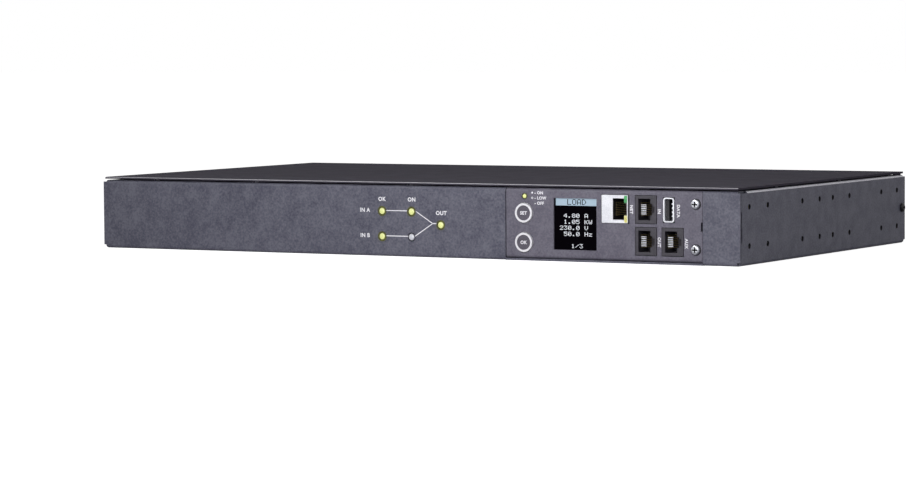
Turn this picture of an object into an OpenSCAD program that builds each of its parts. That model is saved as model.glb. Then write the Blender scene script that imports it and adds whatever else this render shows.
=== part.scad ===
// Rack static transfer switch, one rack unit high.
// Millimetres. X runs to the right seen from the front, Y to the rear and Z up from the underside.
// The body is centred on X and Y.

/* [Enclosure] */
// Width over the outer faces of the sides
body_w = 433; // [431:1:441]
// Depth from the front face to the rear face
body_d = 243; // [242:1:280]
// Height of the folded tray, and so of the front face
tray_h = 42; // [42:0.5:48]
// Sheet thickness of the tray and the module plate
sheet_t = 1.2; // [1:0.1:1.5]
// Sheet thickness of the top cover
cover_t = 1.2; // [1:0.1:1.5]
// Open seam between the tray's flanges and the cover
cover_gap = 0.8; // [0.5:0.1:1.2]
// How far the cover stays inside the tray's outer faces
cover_inset = 1.2; // [0.8:0.1:2]
// Outer radius of the sheet bends
bend_r = 2; // [1.6:0.1:2.4]
// Width of the tray's turned-in top flanges
flange_w = 9; // [7:0.5:11]
// Open seam at the tray's upright corners
corner_seam = 0.25; // [0.2:0.05:0.4]
// Lower end of the slot in each front corner
corner_slot_z = 13; // [8:1:16]
// Height of the slot in each front corner
corner_slot_h = 17.5; // [10:0.5:22]
// Width of the slot in each front corner
corner_slot_w = 1.5; // [1:0.1:2.5]
// Start of the side flanges behind the front face
flange_start = 10; // [8:1:14]

/* [Rack ear holes] */
// Diameter of the tapped holes in the sides
ear_hole_d = 3.4; // [3:0.1:4.2]
// Distance of the first column from the front face
ear_front = 12.5; // [11.5:0.5:16]
// Distance of the last column from the rear face
ear_back = 13; // [11.5:0.5:16]
// Space between the two middle groups
ear_mid_gap = 19.5; // [16:0.5:24]
// How far the middle groups lie in front of the body's middle
ear_mid_shift = 0.75; // [0:0.05:4]
// Spacing of a group's two columns
ear_pitch_y = 25; // [20:0.5:28]
// Spacing of a group's two rows
ear_pitch_z = 22; // [18:0.5:24]
// Height of the lower row
ear_z = 11; // [9:0.5:14]

/* [Top cover fixing] */
// Distance of the side screws from the rear face
cover_screw_back = 5.6; // [5:0.1:6.5]
// Height of the side screws
cover_screw_z = 22; // [18:0.5:26]
// Length of the side screws under the head
cover_screw_len = 3.5; // [3:0.5:4]
// Length of the cover's rear ears along the sides
cover_ear_w = 10; // [9.5:0.5:11]
// Length of the cover's front hooks
hook_w = 26; // [15:1:40]
// Number of hooks under the front flange
hook_count = 3; // [2:1:4]

/* [Screws] */
// Thread diameter of the screws
screw_d = 3; // [2.5:0.1:3]
// Head diameter of the screws
head_d = 5.4; // [5:0.1:6]
// Height of the screw heads
head_h = 1.8; // [1.4:0.1:2.2]
// Length of the screws under the head
screw_len = 5; // [4:0.5:6]
// Clearance all round a screw in its hole
screw_gap = 0.1; // [0.05:0.05:0.2]

/* [Indicators] */
// Diameter of the round indicator lenses
led_d = 4.6; // [4:0.1:5]
// Clearance all round a lens in its hole
led_gap = 0.35; // [0.2:0.05:0.6]
// How far a lens stands out of the front face
led_proud = 0.5; // [0.2:0.1:1]
// X of the input status indicators
status_x = -15.8; // [-40:0.1:-12]
// X of the selected source indicators
selected_x = 4.3; // [0:0.1:8]
// X of the output indicator
output_x = 24.1; // [18:0.1:45]
// Height of the source A indicators
row_a_z = 26.7; // [25:0.1:30]
// Height of the source B indicators
row_b_z = 11.7; // [9:0.1:14]
// Distance from the front wall to the indicator board
led_board_gap = 6; // [5:0.5:8]

/* [Controller module] */
// Width of the wall to the right of the module
module_right = 23; // [20:0.5:30]
// Width of the opening for the module
module_w = 126.2; // [125:0.1:140]
// Seam at the plate's left edge
module_seam = 0.6; // [0.3:0.1:1]
// Seam at the plate's right edge
module_fit = 0.2; // [0.1:0.05:0.4]
// Height of the plate's lower edge over the tray's floor
module_lift = 0.2; // [0.1:0.05:0.5]
// Distance from the front face to the module's board
module_board_y = 22; // [20:0.5:26]
// Depth of the module's folded sled
sled_d = 40; // [30:1:60]
// Depth of the plate's folded top edge
module_lip = 7; // [5:0.5:9]
// Height of the pull notch in the plate's right edge
notch_h = 5.2; // [4:0.1:8]
// Width of the pull notch
notch_w = 1; // [0.8:0.1:1.5]
// Proportions of the spaces before, between and after the module's columns
module_spaces = [6.65, 13.7, 3.4, 4.75, 3.5, 5.1, 1.6]; // [1:0.05:16]
// Height of the plate's lower screw
module_screw_z = 8.8; // [7:0.1:12]
// Spacing of the plate's two screws
module_screw_pitch = 25.7; // [20:0.1:28]

/* [Buttons] */
// Diameter of the buttons
button_d = 11.2; // [10:0.1:12]
// Width of the light ring round a button's centre
button_ring_w = 1.25; // [1:0.05:2]
// Clearance all round a button in the plate
button_gap = 0.5; // [0.3:0.05:0.8]
// How far a button stands out of the plate
button_proud = 0.9; // [0.7:0.1:1.5]
// Travel of a button
button_travel = 0.6; // [0.3:0.1:0.8]
// Height of the lower button
button_z = 10.5; // [9:0.1:12]
// Spacing of the two buttons
button_pitch = 17; // [15:0.1:18]
// Diameter of the button stems
stem_d = 4; // [3:0.1:5]

/* [Display] */
// Width of the display's window
lcd_w = 27.7; // [24:0.1:29]
// Height of the display's window
lcd_h = 29.7; // [24:0.1:31]
// Height of the window's centre
lcd_z = 21.6; // [20:0.1:22]
// Thickness of the window pane
pane_t = 1.1; // [0.8:0.1:1.5]

/* [Sockets] */
// Width of a black jack
jack_w = 13.3; // [12.5:0.1:14]
// Height of a black jack
jack_h = 15.8; // [15:0.1:16]
// Height of the upper row of sockets
socket_top_z = 30.9; // [30:0.1:31.5]
// Height of the lower row of sockets
socket_low_z = 12.8; // [11:0.1:13]
// Clearance all round a socket in the plate
socket_gap = 0.3; // [0.2:0.05:0.5]
// Width of the network jack's shield
lan_w = 16.6; // [15:0.1:17]
// Height of the network jack's shield
lan_h = 15.9; // [15:0.1:16.5]
// Sheet thickness of the network jack's shield
shield_t = 0.3; // [0.2:0.05:0.5]
// Width of the mouth for a plug's full width
plug_w = 12.2; // [11.9:0.1:12.8]
// Height of the mouth for a plug's body
plug_h = 7.6; // [7:0.1:8]
// Depth of a jack's cavity
plug_depth = 13; // [11:0.5:15]
// Pitch of a jack's contacts
contact_pitch = 1.02; // [1:0.01:1.1]
// How far the USB socket's centre lies to the left of the jack under it
usb_shift = 2.45; // [0:0.05:3]
// Inner width of the USB shell
usb_w = 12.5; // [12.4:0.05:12.8]
// Inner height of the USB shell
usb_h = 5.1; // [5:0.05:5.4]
// Sheet thickness of the USB shell
usb_t = 0.3; // [0.25:0.05:0.4]
// How far the USB shell's mouth flares out
usb_flare = 0.65; // [0.4:0.05:0.8]

/* [Rear sockets] */
// Thickness of the flanges on the rear wall
rear_flange_t = 1.8; // [1.4:0.1:2.2]
// Height of the centres of the rear sockets
rear_z = 21.5; // [20:0.5:23]
// Pitch of the outlets in a bank
outlet_pitch = 33; // [32:0.5:33.5]
// Height of an outlet bank's flange
bank_h = 26; // [24.5:0.5:30]
// Width of an inlet's flange
inlet_w = 37; // [36.5:0.5:38]
// Height of an inlet's flange
inlet_h = 30; // [29:0.5:34]
// How far a flange overlaps its cut-out
flange_lap = 1.6; // [1.2:0.1:2]
// Clearance all round a socket's body in the rear wall
rear_fit = 0.2; // [0.1:0.05:0.3]
// Space between neighbouring flanges on the rear wall
rear_space = 1.4; // [1:0.1:2]
// Width of the earth stud's place at the rear wall's left end
earth_w = 13; // [12:0.5:14]
// Width of a circuit breaker's flange
breaker_w = 15; // [14:0.5:16]
// Height of a circuit breaker's flange
breaker_h = 32; // [30:0.5:34]
// Diameter of a circuit breaker's reset button
reset_d = 7; // [6:0.5:8]

/* [Power board] */
// Thickness of the boards
board_t = 1.6; // [1.2:0.1:2]
// Height of the boards' undersides over the underside of the body
board_z = 8; // [7:0.5:9]
// Space between the logic board and the power board
board_gap = 7.5; // [5:0.5:10]
// Space between the boards and the sides
board_side = 9; // [8:0.5:12]
// Distance from the rear face to the power board
power_board_back = 45.5; // [45:0.5:50]
// Depth of the logic board
logic_board_d = 40; // [38:1:42]
// Space between the logic board and the controller module
logic_gap = 24.8; // [20:0.1:40]
// Distance from the front face to the logic board
logic_board_y = 12; // [11.5:0.5:14]
// Across flats of the standoffs
standoff_af = 5; // [4.5:0.1:6]
// Length of the heatsink
sink_w = 132; // [100:1:150]
// Height of the heatsink
sink_h = 28; // [24:0.5:30]
// Thickness of the heatsink's base
sink_base = 6; // [4:0.5:8]
// Length of the heatsink's fins
fin_len = 34; // [24:1:40]
// Number of fins
fin_count = 17; // [9:1:21]
// Thickness of a fin at its tip
fin_tip = 1.4; // [1.2:0.1:2]
// Thickness of a fin at its root
fin_root = 2.2; // [1.8:0.1:3]
// Number of thyristors
thyristor_count = 6; // [4:2:6]
// Diameter of the power wires
wire_d = 3; // [2.6:0.1:3.4]
// Width of the flat ribbon
ribbon_w = 12.7; // [10:0.1:13]
// Thickness of the flat ribbon
ribbon_t = 1; // [0.8:0.1:1.2]

/* [Hidden] */
$fn = 48;
cut = 1;               // how far cutters run past a face
bend_steps = 5;        // flats in a quarter bend
yf = -body_d / 2;
yr = body_d / 2;
side_x = body_w / 2;
floor_z = sheet_t;
body_h = tray_h + cover_gap + cover_t;
cover_z = tray_h + cover_gap;
wall_in = yf + sheet_t;
rear_in = yr - sheet_t;
ear_starts = [yf + ear_front, -ear_mid_shift - ear_mid_gap / 2 - ear_pitch_y,
              ear_mid_gap / 2 - ear_mid_shift, yr - ear_back - ear_pitch_y];
window_x1 = side_x - module_right;
window_x0 = window_x1 - module_w;
plate_x0 = window_x0 + module_seam;
plate_x1 = window_x1 - module_fit;
plate_z0 = floor_z + module_lift;
module_columns = [button_d, lcd_w, lan_w, jack_w, jack_w, head_d];
module_unit = (module_w - sum(module_columns, len(module_columns))) / sum(module_spaces, len(module_spaces));
button_u = column(0);
lcd_u = column(1);
lan_u = column(2);
jack_u = column(3);
sensor_u = column(4);
usb_u = sensor_u - usb_shift;
module_screw_x = window_x0 + column(5);
screw_r = screw_d / 2;
screw_hole_r = screw_r + screw_gap;
led_places = [[status_x, row_a_z], [status_x, row_b_z], [selected_x, row_a_z], [selected_x, row_b_z],
              [output_x, (row_a_z + row_b_z) / 2]];
led_board_y = wall_in + led_board_gap;
led_board_margin = 9;
module_back_y = yf + module_board_y;

// ---------------------------------------------------------------- shared geometry

// Sum of the first n numbers of v.
function sum(v, n) = n == 0 ? 0 : v[n - 1] + sum(v, n - 1);
function unit(v) = v / norm(v);
function heading(a, b) = unit(b - a);

// Distance of the middle of the module's column k from the module's left edge.
function column(k) =
    sum(module_columns, k) + module_columns[k] / 2 + module_unit * sum(module_spaces, k + 1);

// Points of a right-angle bend at corner c, s inside the sheet's outer face.
function bend_point(a, c, b, r, s, q) =
    let (u = heading(a, c), v = heading(c, b), m = c - r * u + r * v)
    m - (r - s) * (v * cos(q) - u * sin(q));

// Outline of a sheet of thickness t folded by right angles, all the same way, along corners c.
function folded(c, t, r) =
    let (n = len(c) - 1, q = 90 / bend_steps)
    concat([c[0]],
           [for (i = [1 : n - 1], k = [0 : bend_steps]) bend_point(c[i - 1], c[i], c[i + 1], r, 0, q * k)],
           [c[n], c[n] + t * heading(c[n - 1], c[n - 2])],
           [for (i = [n - 1 : -1 : 1], k = [bend_steps : -1 : 0])
               bend_point(c[i - 1], c[i], c[i + 1], r, t, q * k)],
           [c[0] + t * heading(c[1], c[2])]);

// Rectangle w by h about the origin with its corners rounded by a few flats.
function round_rect(w, h, r) =
    [for (k = [0 : 3], j = [0 : bend_steps])
        let (a = 90 * k + 90 * j / bend_steps,
             sx = (k == 0 || k == 3) ? 1 : -1,
             sy = k < 2 ? 1 : -1)
        [sx * (w / 2 - r) + r * cos(a), sy * (h / 2 - r) + r * sin(a)]];

// Rectangle w by h about the origin with its two upper corners cut at 45 degrees.
function cut_rect(w, h, c) =
    [[-w / 2, -h / 2], [w / 2, -h / 2], [w / 2, h / 2 - c], [w / 2 - c, h / 2], [-w / 2 + c, h / 2],
     [-w / 2, h / 2 - c]];

// Extrudes a shape drawn in X and Z between two places along Y.
module along_y(y0, y1) {
    translate([0, y1, 0]) rotate([90, 0, 0]) linear_extrude(y1 - y0) children();
}

// Extrudes a shape drawn in Y and Z between two places along X.
module along_x(x0, x1) {
    translate([x0, 0, 0]) rotate([90, 0, 90]) linear_extrude(x1 - x0) children();
}

// Box between two corners.
module box(a, b) {
    translate(a) cube(b - a);
}

// Box w by h in X and Z about (x, z), between two places along Y.
module block_y(x, z, w, h, y0, y1) {
    box([x - w / 2, y0, z - h / 2], [x + w / 2, y1, z + h / 2]);
}

// Round bar along Y.
module rod_y(x, z, r, y0, y1) {
    translate([x, y0, z]) rotate([-90, 0, 0]) cylinder(r = r, h = y1 - y0);
}

// Round bar along X.
module rod_x(y, z, r, x0, x1) {
    translate([x0, y, z]) rotate([0, 90, 0]) cylinder(r = r, h = x1 - x0);
}

// Pan head with its flat underside at z = 0, shank downwards and a cross recess on top.
recess_w = 0.8;
recess_len = 2.9;
recess_deep = 1;
module pan_screw(shank) {
    difference() {
        union() {
            rotate_extrude() polygon(concat([[0, 0], [head_d / 2, 0]],
                [for (k = [0 : bend_steps])
                    let (a = 90 * k / bend_steps)
                    [head_d / 2 - head_h * 0.6 * (1 - cos(a)), head_h * (0.4 + 0.6 * sin(a))]],
                [[0, head_h]]));
            translate([0, 0, -shank]) cylinder(r = screw_r, h = shank + head_h / 2);
        }
        for (a = [0, 90])
            rotate([0, 0, a]) translate([-recess_len / 2, -recess_w / 2, head_h - recess_deep])
                cube([recess_len, recess_w, recess_deep + cut]);
    }
}

// Path through corner points with each corner rounded.
wire_bend = 5;
wire_steps = 3;
function rounded_path(p) =
    let (n = len(p) - 1)
    concat([p[0]],
           [for (i = [1 : n - 1])
               let (a = p[i] - wire_bend * heading(p[i - 1], p[i]),
                    b = p[i] + wire_bend * heading(p[i], p[i + 1]))
               for (k = [0 : wire_steps])
                   let (s = k / wire_steps)
                   (1 - s) * (1 - s) * a + 2 * s * (1 - s) * p[i] + s * s * b],
           [p[n]]);

// Round wire of diameter d along corner points p. Its rings are set square to the path from one
// slanting direction, which no route runs along.
wire_sides = 8;
wire_ref = [1, 1, 1];
module wire(p, d) {
    path = rounded_path(p);
    n = len(path) - 1;
    ring = [for (i = [0 : n])
        let (t = heading(path[max(i - 1, 0)], path[min(i + 1, n)]),
             u = unit(wire_ref - (wire_ref * t) * t),
             v = cross(t, u))
        for (k = [0 : wire_sides - 1])
            let (a = 360 * k / wire_sides)
            path[i] + d / 2 * (u * cos(a) + v * sin(a))];
    sides = [for (i = [0 : n - 1], k = [0 : wire_sides - 1])
        let (j = (k + 1) % wire_sides)
        [i * wire_sides + k, (i + 1) * wire_sides + k, (i + 1) * wire_sides + j, i * wire_sides + j]];
    first = [for (k = [0 : wire_sides - 1]) k];
    last = [for (k = [wire_sides - 1 : -1 : 0]) n * wire_sides + k];
    polyhedron(ring, concat([first], sides, [last]));
}

// ---------------------------------------------------------------- folded tray

// Seats for the cover: low round dimples on the top flanges.
dimple_r = 2.4;
dimple_top_r = 1.4;
module dimple(x, y) {
    translate([x, y, tray_h - sheet_t / 2])
        cylinder(r1 = dimple_r, r2 = dimple_top_r, h = sheet_t / 2 + cover_gap);
}

ledge_w = 9.4;
ledge_lap = 3.5;
ledge_step = 0.5;
ear_relief = 5;
floor_tab = [window_x0, window_x1];
side_flange_end = yr - cover_ear_w - sheet_t - 3;
dimple_mid = flange_w - dimple_r - 0.6;
module tray_sides() {
    y0 = yf + bend_r;
    y1 = yr - bend_r;
    along_y(y0, y1)
        polygon(folded([[-side_x, tray_h - bend_r], [-side_x, 0], [side_x, 0],
                        [side_x, tray_h - bend_r]], sheet_t, bend_r));
    for (s = [-1, 1]) {
        // Turned-in top flange, which starts behind a relief notch and ends before the cover's ear.
        along_y(yf + flange_start, side_flange_end)
            polygon(folded([[s * side_x, bend_r], [s * side_x, tray_h],
                            [s * (side_x - flange_w), tray_h]], sheet_t, bend_r));
        // Beside the cover's ear only the bend runs on.
        along_y(side_flange_end - cut, rear_in - corner_seam)
            polygon(folded([[s * side_x, bend_r], [s * side_x, tray_h],
                            [s * (side_x - bend_r - module_fit / 2), tray_h]], sheet_t, bend_r));
        // The upright side runs on past the flange, up to the open corner seams.
        box([min(s * side_x, s * (side_x - sheet_t)), wall_in + corner_seam, bend_r],
            [max(s * side_x, s * (side_x - sheet_t)), rear_in - corner_seam, tray_h - sheet_t]);
    }
}

module tray_ends() {
    inner_x = side_x - bend_r;
    along_x(-inner_x, inner_x)
        polygon(folded([[yf + flange_w, tray_h], [yf, tray_h], [yf, 0], [yr, 0], [yr, tray_h],
                        [yr - flange_w, tray_h]], sheet_t, bend_r));
    for (y = [yf, rear_in], s = [-1, 1])
        box([s > 0 ? inner_x - cut : -side_x, y, bend_r],
            [s > 0 ? side_x : cut - inner_x, y + sheet_t, tray_h - bend_r / 2]);
}

module tray_window() {
    // The front wall and its bends are open over the module, and the floor runs out flat.
    box([window_x0, yf - cut, -cut], [window_x1, yf + bend_r + flange_w, tray_h + cut]);
}

module tray_floor_tab() {
    box([floor_tab[0] - cut / 4, yf + bend_r - sheet_t, 0],
        [floor_tab[1] + cut / 4, yf + bend_r + flange_w + cut, sheet_t]);
    box([floor_tab[0], yf, 0], [floor_tab[1], yf + bend_r, sheet_t]);
}

// Room for the cover's ears at the ends of the rear flange.
module ear_notches() {
    for (s = [-1, 1])
        box([min(s * side_x, s * (side_x - ear_relief)), yr - flange_w - cut, tray_h - bend_r],
            [max(s * side_x, s * (side_x - ear_relief)), rear_in, tray_h + cut]);
}

// Joggled ledge behind the module plate's right edge, which takes its screws.
module screw_ledge() {
    along_z(plate_z0 + bend_r + module_fit, tray_h - bend_r)
        polygon([[window_x1 - ledge_w, wall_in], [window_x1 + ledge_step, wall_in],
                 [window_x1 + ledge_step, wall_in - sheet_t / 2],
                 [window_x1 + ledge_lap, wall_in - sheet_t / 2],
                 [window_x1 + ledge_lap, wall_in + sheet_t], [window_x1 - ledge_w, wall_in + sheet_t]]);
}

module chassis_tray() {
    color("#4b4a56")
    difference() {
        union() {
            tray_sides();
            difference() {
                tray_ends();
                tray_window();
                ear_notches();
            }
            tray_floor_tab();
            screw_ledge();
            for (x = [-side_x + flange_w * 4, -side_x / 2, 0])
                dimple(x, yf + dimple_mid);
            for (x = [-side_x * 0.75, -side_x / 4, side_x / 4, side_x * 0.75])
                dimple(x, yr - dimple_mid);
            for (s = [-1, 1], y = [-body_d / 4, body_d / 8])
                dimple(s * (side_x - dimple_mid), y);
        }
        side_holes();
        front_holes();
        rear_holes();
    }
}

module side_holes() {
    for (s = [-1, 1]) {
        for (y0 = ear_starts, dy = [0, ear_pitch_y], dz = [0, ear_pitch_z])
            rod_x(y0 + dy, ear_z + dz, ear_hole_d / 2, s * side_x - 2 * sheet_t, s * side_x + 2 * sheet_t);
        rod_x(yr - cover_screw_back, cover_screw_z, screw_hole_r, s * side_x - 2 * sheet_t,
              s * side_x + 2 * sheet_t);
        box([s * side_x - 2 * sheet_t, wall_in, corner_slot_z],
            [s * side_x + 2 * sheet_t, wall_in + corner_slot_w, corner_slot_z + corner_slot_h]);
    }
}

module front_holes() {
    for (p = led_places)
        rod_y(p[0], p[1], led_d / 2 + led_gap, yf - cut, wall_in + cut);
    for (z = [module_screw_z, module_screw_z + module_screw_pitch])
        rod_y(module_screw_x, z, screw_hole_r, yf - cut, wall_in + sheet_t + cut);
    block_y(plate_x1 - notch_w / 2, tray_h / 2 + notch_drop, notch_w, notch_h,
            yf - cut, wall_in + sheet_t + cut);
}

module rear_holes() {
    for (k = [0, 1])
        block_y(bank_x(k), rear_z, bank_w - 2 * flange_lap, bank_h - 2 * flange_lap, rear_in - cut,
                yr + cut);
    for (x = [outlet_c19_x, inlet_a_x, inlet_b_x])
        block_y(x, rear_z, inlet_w - 2 * flange_lap, inlet_h - 2 * flange_lap, rear_in - cut, yr + cut);
    for (k = [0, 1])
        block_y(breaker_x(k), rear_z, breaker_w - 2 * flange_lap, breaker_h - 2 * flange_lap, rear_in - cut,
                yr + cut);
    rod_y(earth_x, earth_z, screw_hole_r + earth_extra_r, rear_in - cut, yr + cut);
}

// ---------------------------------------------------------------- top cover

cover_edge_r = 1;
ear_drop = 32;
module top_cover() {
    x1 = side_x - cover_inset;
    ear_in = side_x - bend_r - module_fit;
    ear_y1 = rear_in - corner_seam;
    hook_step = (window_x0 + side_x) / (hook_count + 0.5);
    color("#403e48")
    difference() {
        union() {
            // Flat top with a softly bent front edge.
            along_x(-x1, x1)
                polygon(concat([[yr, cover_z], [yr, body_h]],
                    [for (k = [0 : bend_steps])
                        let (a = 90 + 90 * k / bend_steps)
                        [yf + cover_edge_r * (1 + cos(a)), body_h - cover_edge_r * (1 - sin(a))]],
                    [[yf, cover_z]]));
            // Ears at the rear corners, folded down inside the tray's sides.
            for (s = [-1, 1])
                box([min(s * ear_in, s * (ear_in - cover_t)), ear_y1 - cover_ear_w,
                     body_h - cover_t - ear_drop],
                    [max(s * ear_in, s * (ear_in - cover_t)), ear_y1, cover_z + cover_t / 2]);
            // Hooks that reach under the tray's front flange.
            for (k = [0 : hook_count - 1])
                translate([-side_x + hook_step * (k + 0.5), 0, 0]) cover_hook();
        }
        for (s = [-1, 1])
            rod_x(yr - cover_screw_back, cover_screw_z, screw_hole_r, s * side_x - 4 * sheet_t,
                  s * side_x + 4 * sheet_t);
    }
}

module cover_hook() {
    back = yf + flange_w + module_fit;
    low = tray_h - sheet_t - module_fit - cover_t;
    along_x(0, hook_w)
        polygon([[back, cover_z + cover_t / 2], [back, low + cover_t], [back - flange_w / 2, low + cover_t],
                 [back - flange_w / 2, low], [back + cover_t, low],
                 [back + cover_t, cover_z + cover_t / 2]]);
}

module cover_screws() {
    color("#1b1b1e")
    for (s = [-1, 1])
        translate([s * side_x, yr - cover_screw_back, cover_screw_z]) rotate([0, s * 90, 0])
            pan_screw(cover_screw_len);
}

// ---------------------------------------------------------------- indicators

led_flange_t = 1.2;
module led(place) {
    r = led_d / 2;
    tip_r = r * 0.3;
    translate([place[0], yf - led_proud, place[1]]) rotate([-90, 0, 0])
        rotate_extrude() polygon(concat([[0, 0]],
            [for (k = [0 : bend_steps])
                let (a = 90 * k / bend_steps)
                [r - tip_r * (1 - sin(a)), tip_r * (1 - cos(a))]],
            [[r, led_board_y - yf + led_proud - led_flange_t],
             [r + led_gap, led_board_y - yf + led_proud - led_flange_t],
             [r + led_gap, led_board_y - yf + led_proud], [0, led_board_y - yf + led_proud]]));
}

module input_a_led() { color("#d3e36a") led(led_places[0]); }
module input_b_led() { color("#d3e36a") led(led_places[1]); }
module selected_a_led() { color("#d3e36a") led(led_places[2]); }
module selected_b_led() { color("#d8d8de") led(led_places[3]); }
module output_led() { color("#d3e36a") led(led_places[4]); }

led_board_x = [status_x - led_board_margin, output_x + led_board_margin];
led_board_low = floor_z + 3;
led_board_high = tray_h - sheet_t - 5;
led_post_in = 4;
led_posts = [for (x = [led_board_x[0] + led_post_in, led_board_x[1] - led_post_in],
                  z = [led_board_low + led_post_in, led_board_high - led_post_in]) [x, z]];
module indicator_board() {
    color("#1f5a3a")
    difference() {
        box([led_board_x[0], led_board_y, led_board_low],
            [led_board_x[1], led_board_y + board_t, led_board_high]);
        for (p = led_posts)
            rod_y(p[0], p[1], screw_hole_r, led_board_y - cut, led_board_y + board_t + cut);
    }
}

// ---------------------------------------------------------------- controller module

tab_lap = 5;
tab_h = 7;
post_left_u = (button_u + button_d / 2 + lcd_u - lcd_w / 2) / 2;
post_low_z = plate_z0 + sheet_t + standoff_af;
post_high_z = tray_h - sheet_t - standoff_af / 2 - 1;
module_posts = [[window_x0 + post_left_u, post_low_z], [window_x0 + post_left_u, post_high_z],
                [window_x0 + lan_u, post_low_z + standoff_af / 2],
                [window_x0 + (usb_u + column(5)) / 2, socket_top_z]];
module module_plate() {
    color("#5a5963")
    difference() {
        union() {
            // Face, top lip and sled are one folded sheet.
            along_x(plate_x0, plate_x1)
                polygon(folded([[yf + module_lip, tray_h], [yf, tray_h], [yf, plate_z0],
                                [yf + sled_d, plate_z0]], sheet_t, bend_r));
            // Joggled tabs that hook behind the tray's front wall.
            for (z = [plate_z0 + 6, tray_h - 6 - tab_h])
                along_z(z, z + tab_h)
                    polygon([[plate_x0 - tab_lap, wall_in + module_fit],
                             [plate_x0 + sheet_t / 4, wall_in + module_fit],
                             [plate_x0 + sheet_t / 4, wall_in - sheet_t / 2],
                             [plate_x0 + 2 * sheet_t, wall_in - sheet_t / 2],
                             [plate_x0 + 2 * sheet_t, wall_in + module_fit + sheet_t],
                             [plate_x0 - tab_lap, wall_in + module_fit + sheet_t]]);
        }
        module_cutouts();
    }
}

// Extrudes a shape drawn in X and Y between two heights.
module along_z(z0, z1) {
    translate([0, 0, z0]) linear_extrude(z1 - z0) children();
}

module module_cutouts() {
    face = [yf - cut, wall_in + cut];
    for (z = [button_z, button_z + button_pitch])
        rod_y(window_x0 + button_u, z, button_d / 2 + button_gap, face[0], face[1]);
    rod_y(window_x0 + health_u, health_z, health_d / 2 + led_gap, face[0], face[1]);
    block_y(window_x0 + lcd_u, lcd_z, lcd_w, lcd_h, face[0], face[1]);
    block_y(window_x0 + lan_u + lan_extra / 2, socket_top_z, lan_w + 2 * socket_gap + lan_extra,
            lan_h + 2 * socket_gap, face[0], face[1]);
    for (p = jack_places)
        block_y(p[0], p[1], jack_w + 2 * socket_gap, jack_h + 2 * socket_gap, face[0], face[1]);
    block_y(window_x0 + usb_u, socket_top_z, usb_mouth_h + 2 * socket_gap, usb_mouth_w + 2 * socket_gap,
            face[0], face[1]);
    for (z = [module_screw_z, module_screw_z + module_screw_pitch])
        rod_y(module_screw_x, z, screw_hole_r, face[0], face[1]);
    block_y(plate_x1 - notch_w / 2 + cut / 2, tray_h / 2 + notch_drop, notch_w + cut, notch_h, face[0],
            face[1]);
}
notch_drop = 0.7;

module module_board() {
    low = plate_z0 + sheet_t + 0.3;
    color("#1f5a3a")
    difference() {
        box([plate_x0 + 1, module_back_y, low],
            [plate_x1 - 1, module_back_y + board_t, tray_h - sheet_t - 0.8]);
        for (p = module_posts)
            rod_y(p[0], p[1], screw_hole_r, module_back_y - cut, module_back_y + board_t + cut);
    }
}

module module_screws() {
    color("#c9c9cf")
    for (z = [module_screw_z, module_screw_z + module_screw_pitch])
        translate([module_screw_x, yf, z]) rotate([90, 0, 0]) pan_screw(screw_len);
}

health_u = 12.6;
health_z = 37.2;
health_d = 3;
module health_led() {
    x = window_x0 + health_u;
    color("#eef3b0")
    union() {
        rod_y(x, health_z, health_d / 2, yf - led_proud / 2, module_back_y);
        rod_y(x, health_z, health_d / 2 + led_gap, module_back_y - led_flange_t, module_back_y);
    }
}

pane_lap = 1.5;
module lcd_pane() {
    color("#17161a")
    block_y(window_x0 + lcd_u, lcd_z, lcd_w + 2 * pane_lap, lcd_h + 2 * pane_lap, wall_in, wall_in + pane_t);
}

lcd_body_d = 5;
lcd_leg = 2.4;
module lcd_module() {
    x = window_x0 + lcd_u;
    w = lcd_w + 2 * pane_lap;
    h = lcd_h + 2 * pane_lap + 1.2;
    front = wall_in + pane_t;
    color("#d9d8d2")
    union() {
        block_y(x, lcd_z, w, h, front, front + lcd_body_d);
        for (sx = [-1, 1], sz = [-1, 1])
            block_y(x + sx * (w - lcd_leg) / 2, lcd_z + sz * (h - lcd_leg) / 2, lcd_leg, lcd_leg,
                    front + lcd_body_d / 2, module_back_y);
    }
}

// Button: light ring, retaining flange behind the plate and a stem into its switch.
button_flange_w = 1;
button_flange_t = 0.8;
button_flange_gap = 0.3;
inlay_t = 1;
inlay_sink = 0.25;
switch_w = 6;
switch_h = 7;
switch_bore_gap = 0.15;
inlay_r = button_d / 2 - button_ring_w;
module button_body(z) {
    x = window_x0 + button_u;
    flange_y = wall_in + button_flange_gap;
    difference() {
        union() {
            rod_y(x, z, button_d / 2, yf - button_proud, flange_y + button_flange_t);
            rod_y(x, z, button_d / 2 + button_flange_w, flange_y, flange_y + button_flange_t);
            rod_y(x, z, stem_d / 2, flange_y, module_back_y - switch_h + switch_deep);
        }
        rod_y(x, z, inlay_r, yf - button_proud - cut, yf - button_proud + inlay_sink + inlay_t);
    }
}
switch_deep = 2;

module button_inlay(z) {
    rod_y(window_x0 + button_u, z, inlay_r, yf - button_proud + inlay_sink,
          yf - button_proud + inlay_sink + inlay_t);
}

module select_button() { color("#eeeef2") button_body(button_z + button_pitch); }
module select_inlay() { color("#5a5963") button_inlay(button_z + button_pitch); }
module enter_button() { color("#eeeef2") button_body(button_z); }
module enter_inlay() { color("#5a5963") button_inlay(button_z); }

module tact_switches() {
    color("#232326")
    for (z = [button_z, button_z + button_pitch])
        difference() {
            block_y(window_x0 + button_u, z, switch_w, switch_w, module_back_y - switch_h, module_back_y);
            rod_y(window_x0 + button_u, z, stem_d / 2 + switch_bore_gap, module_back_y - switch_h - cut,
                  module_back_y - switch_h + switch_deep + button_travel + 0.3);
        }
}

// ---------------------------------------------------------------- sockets of the module

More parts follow.
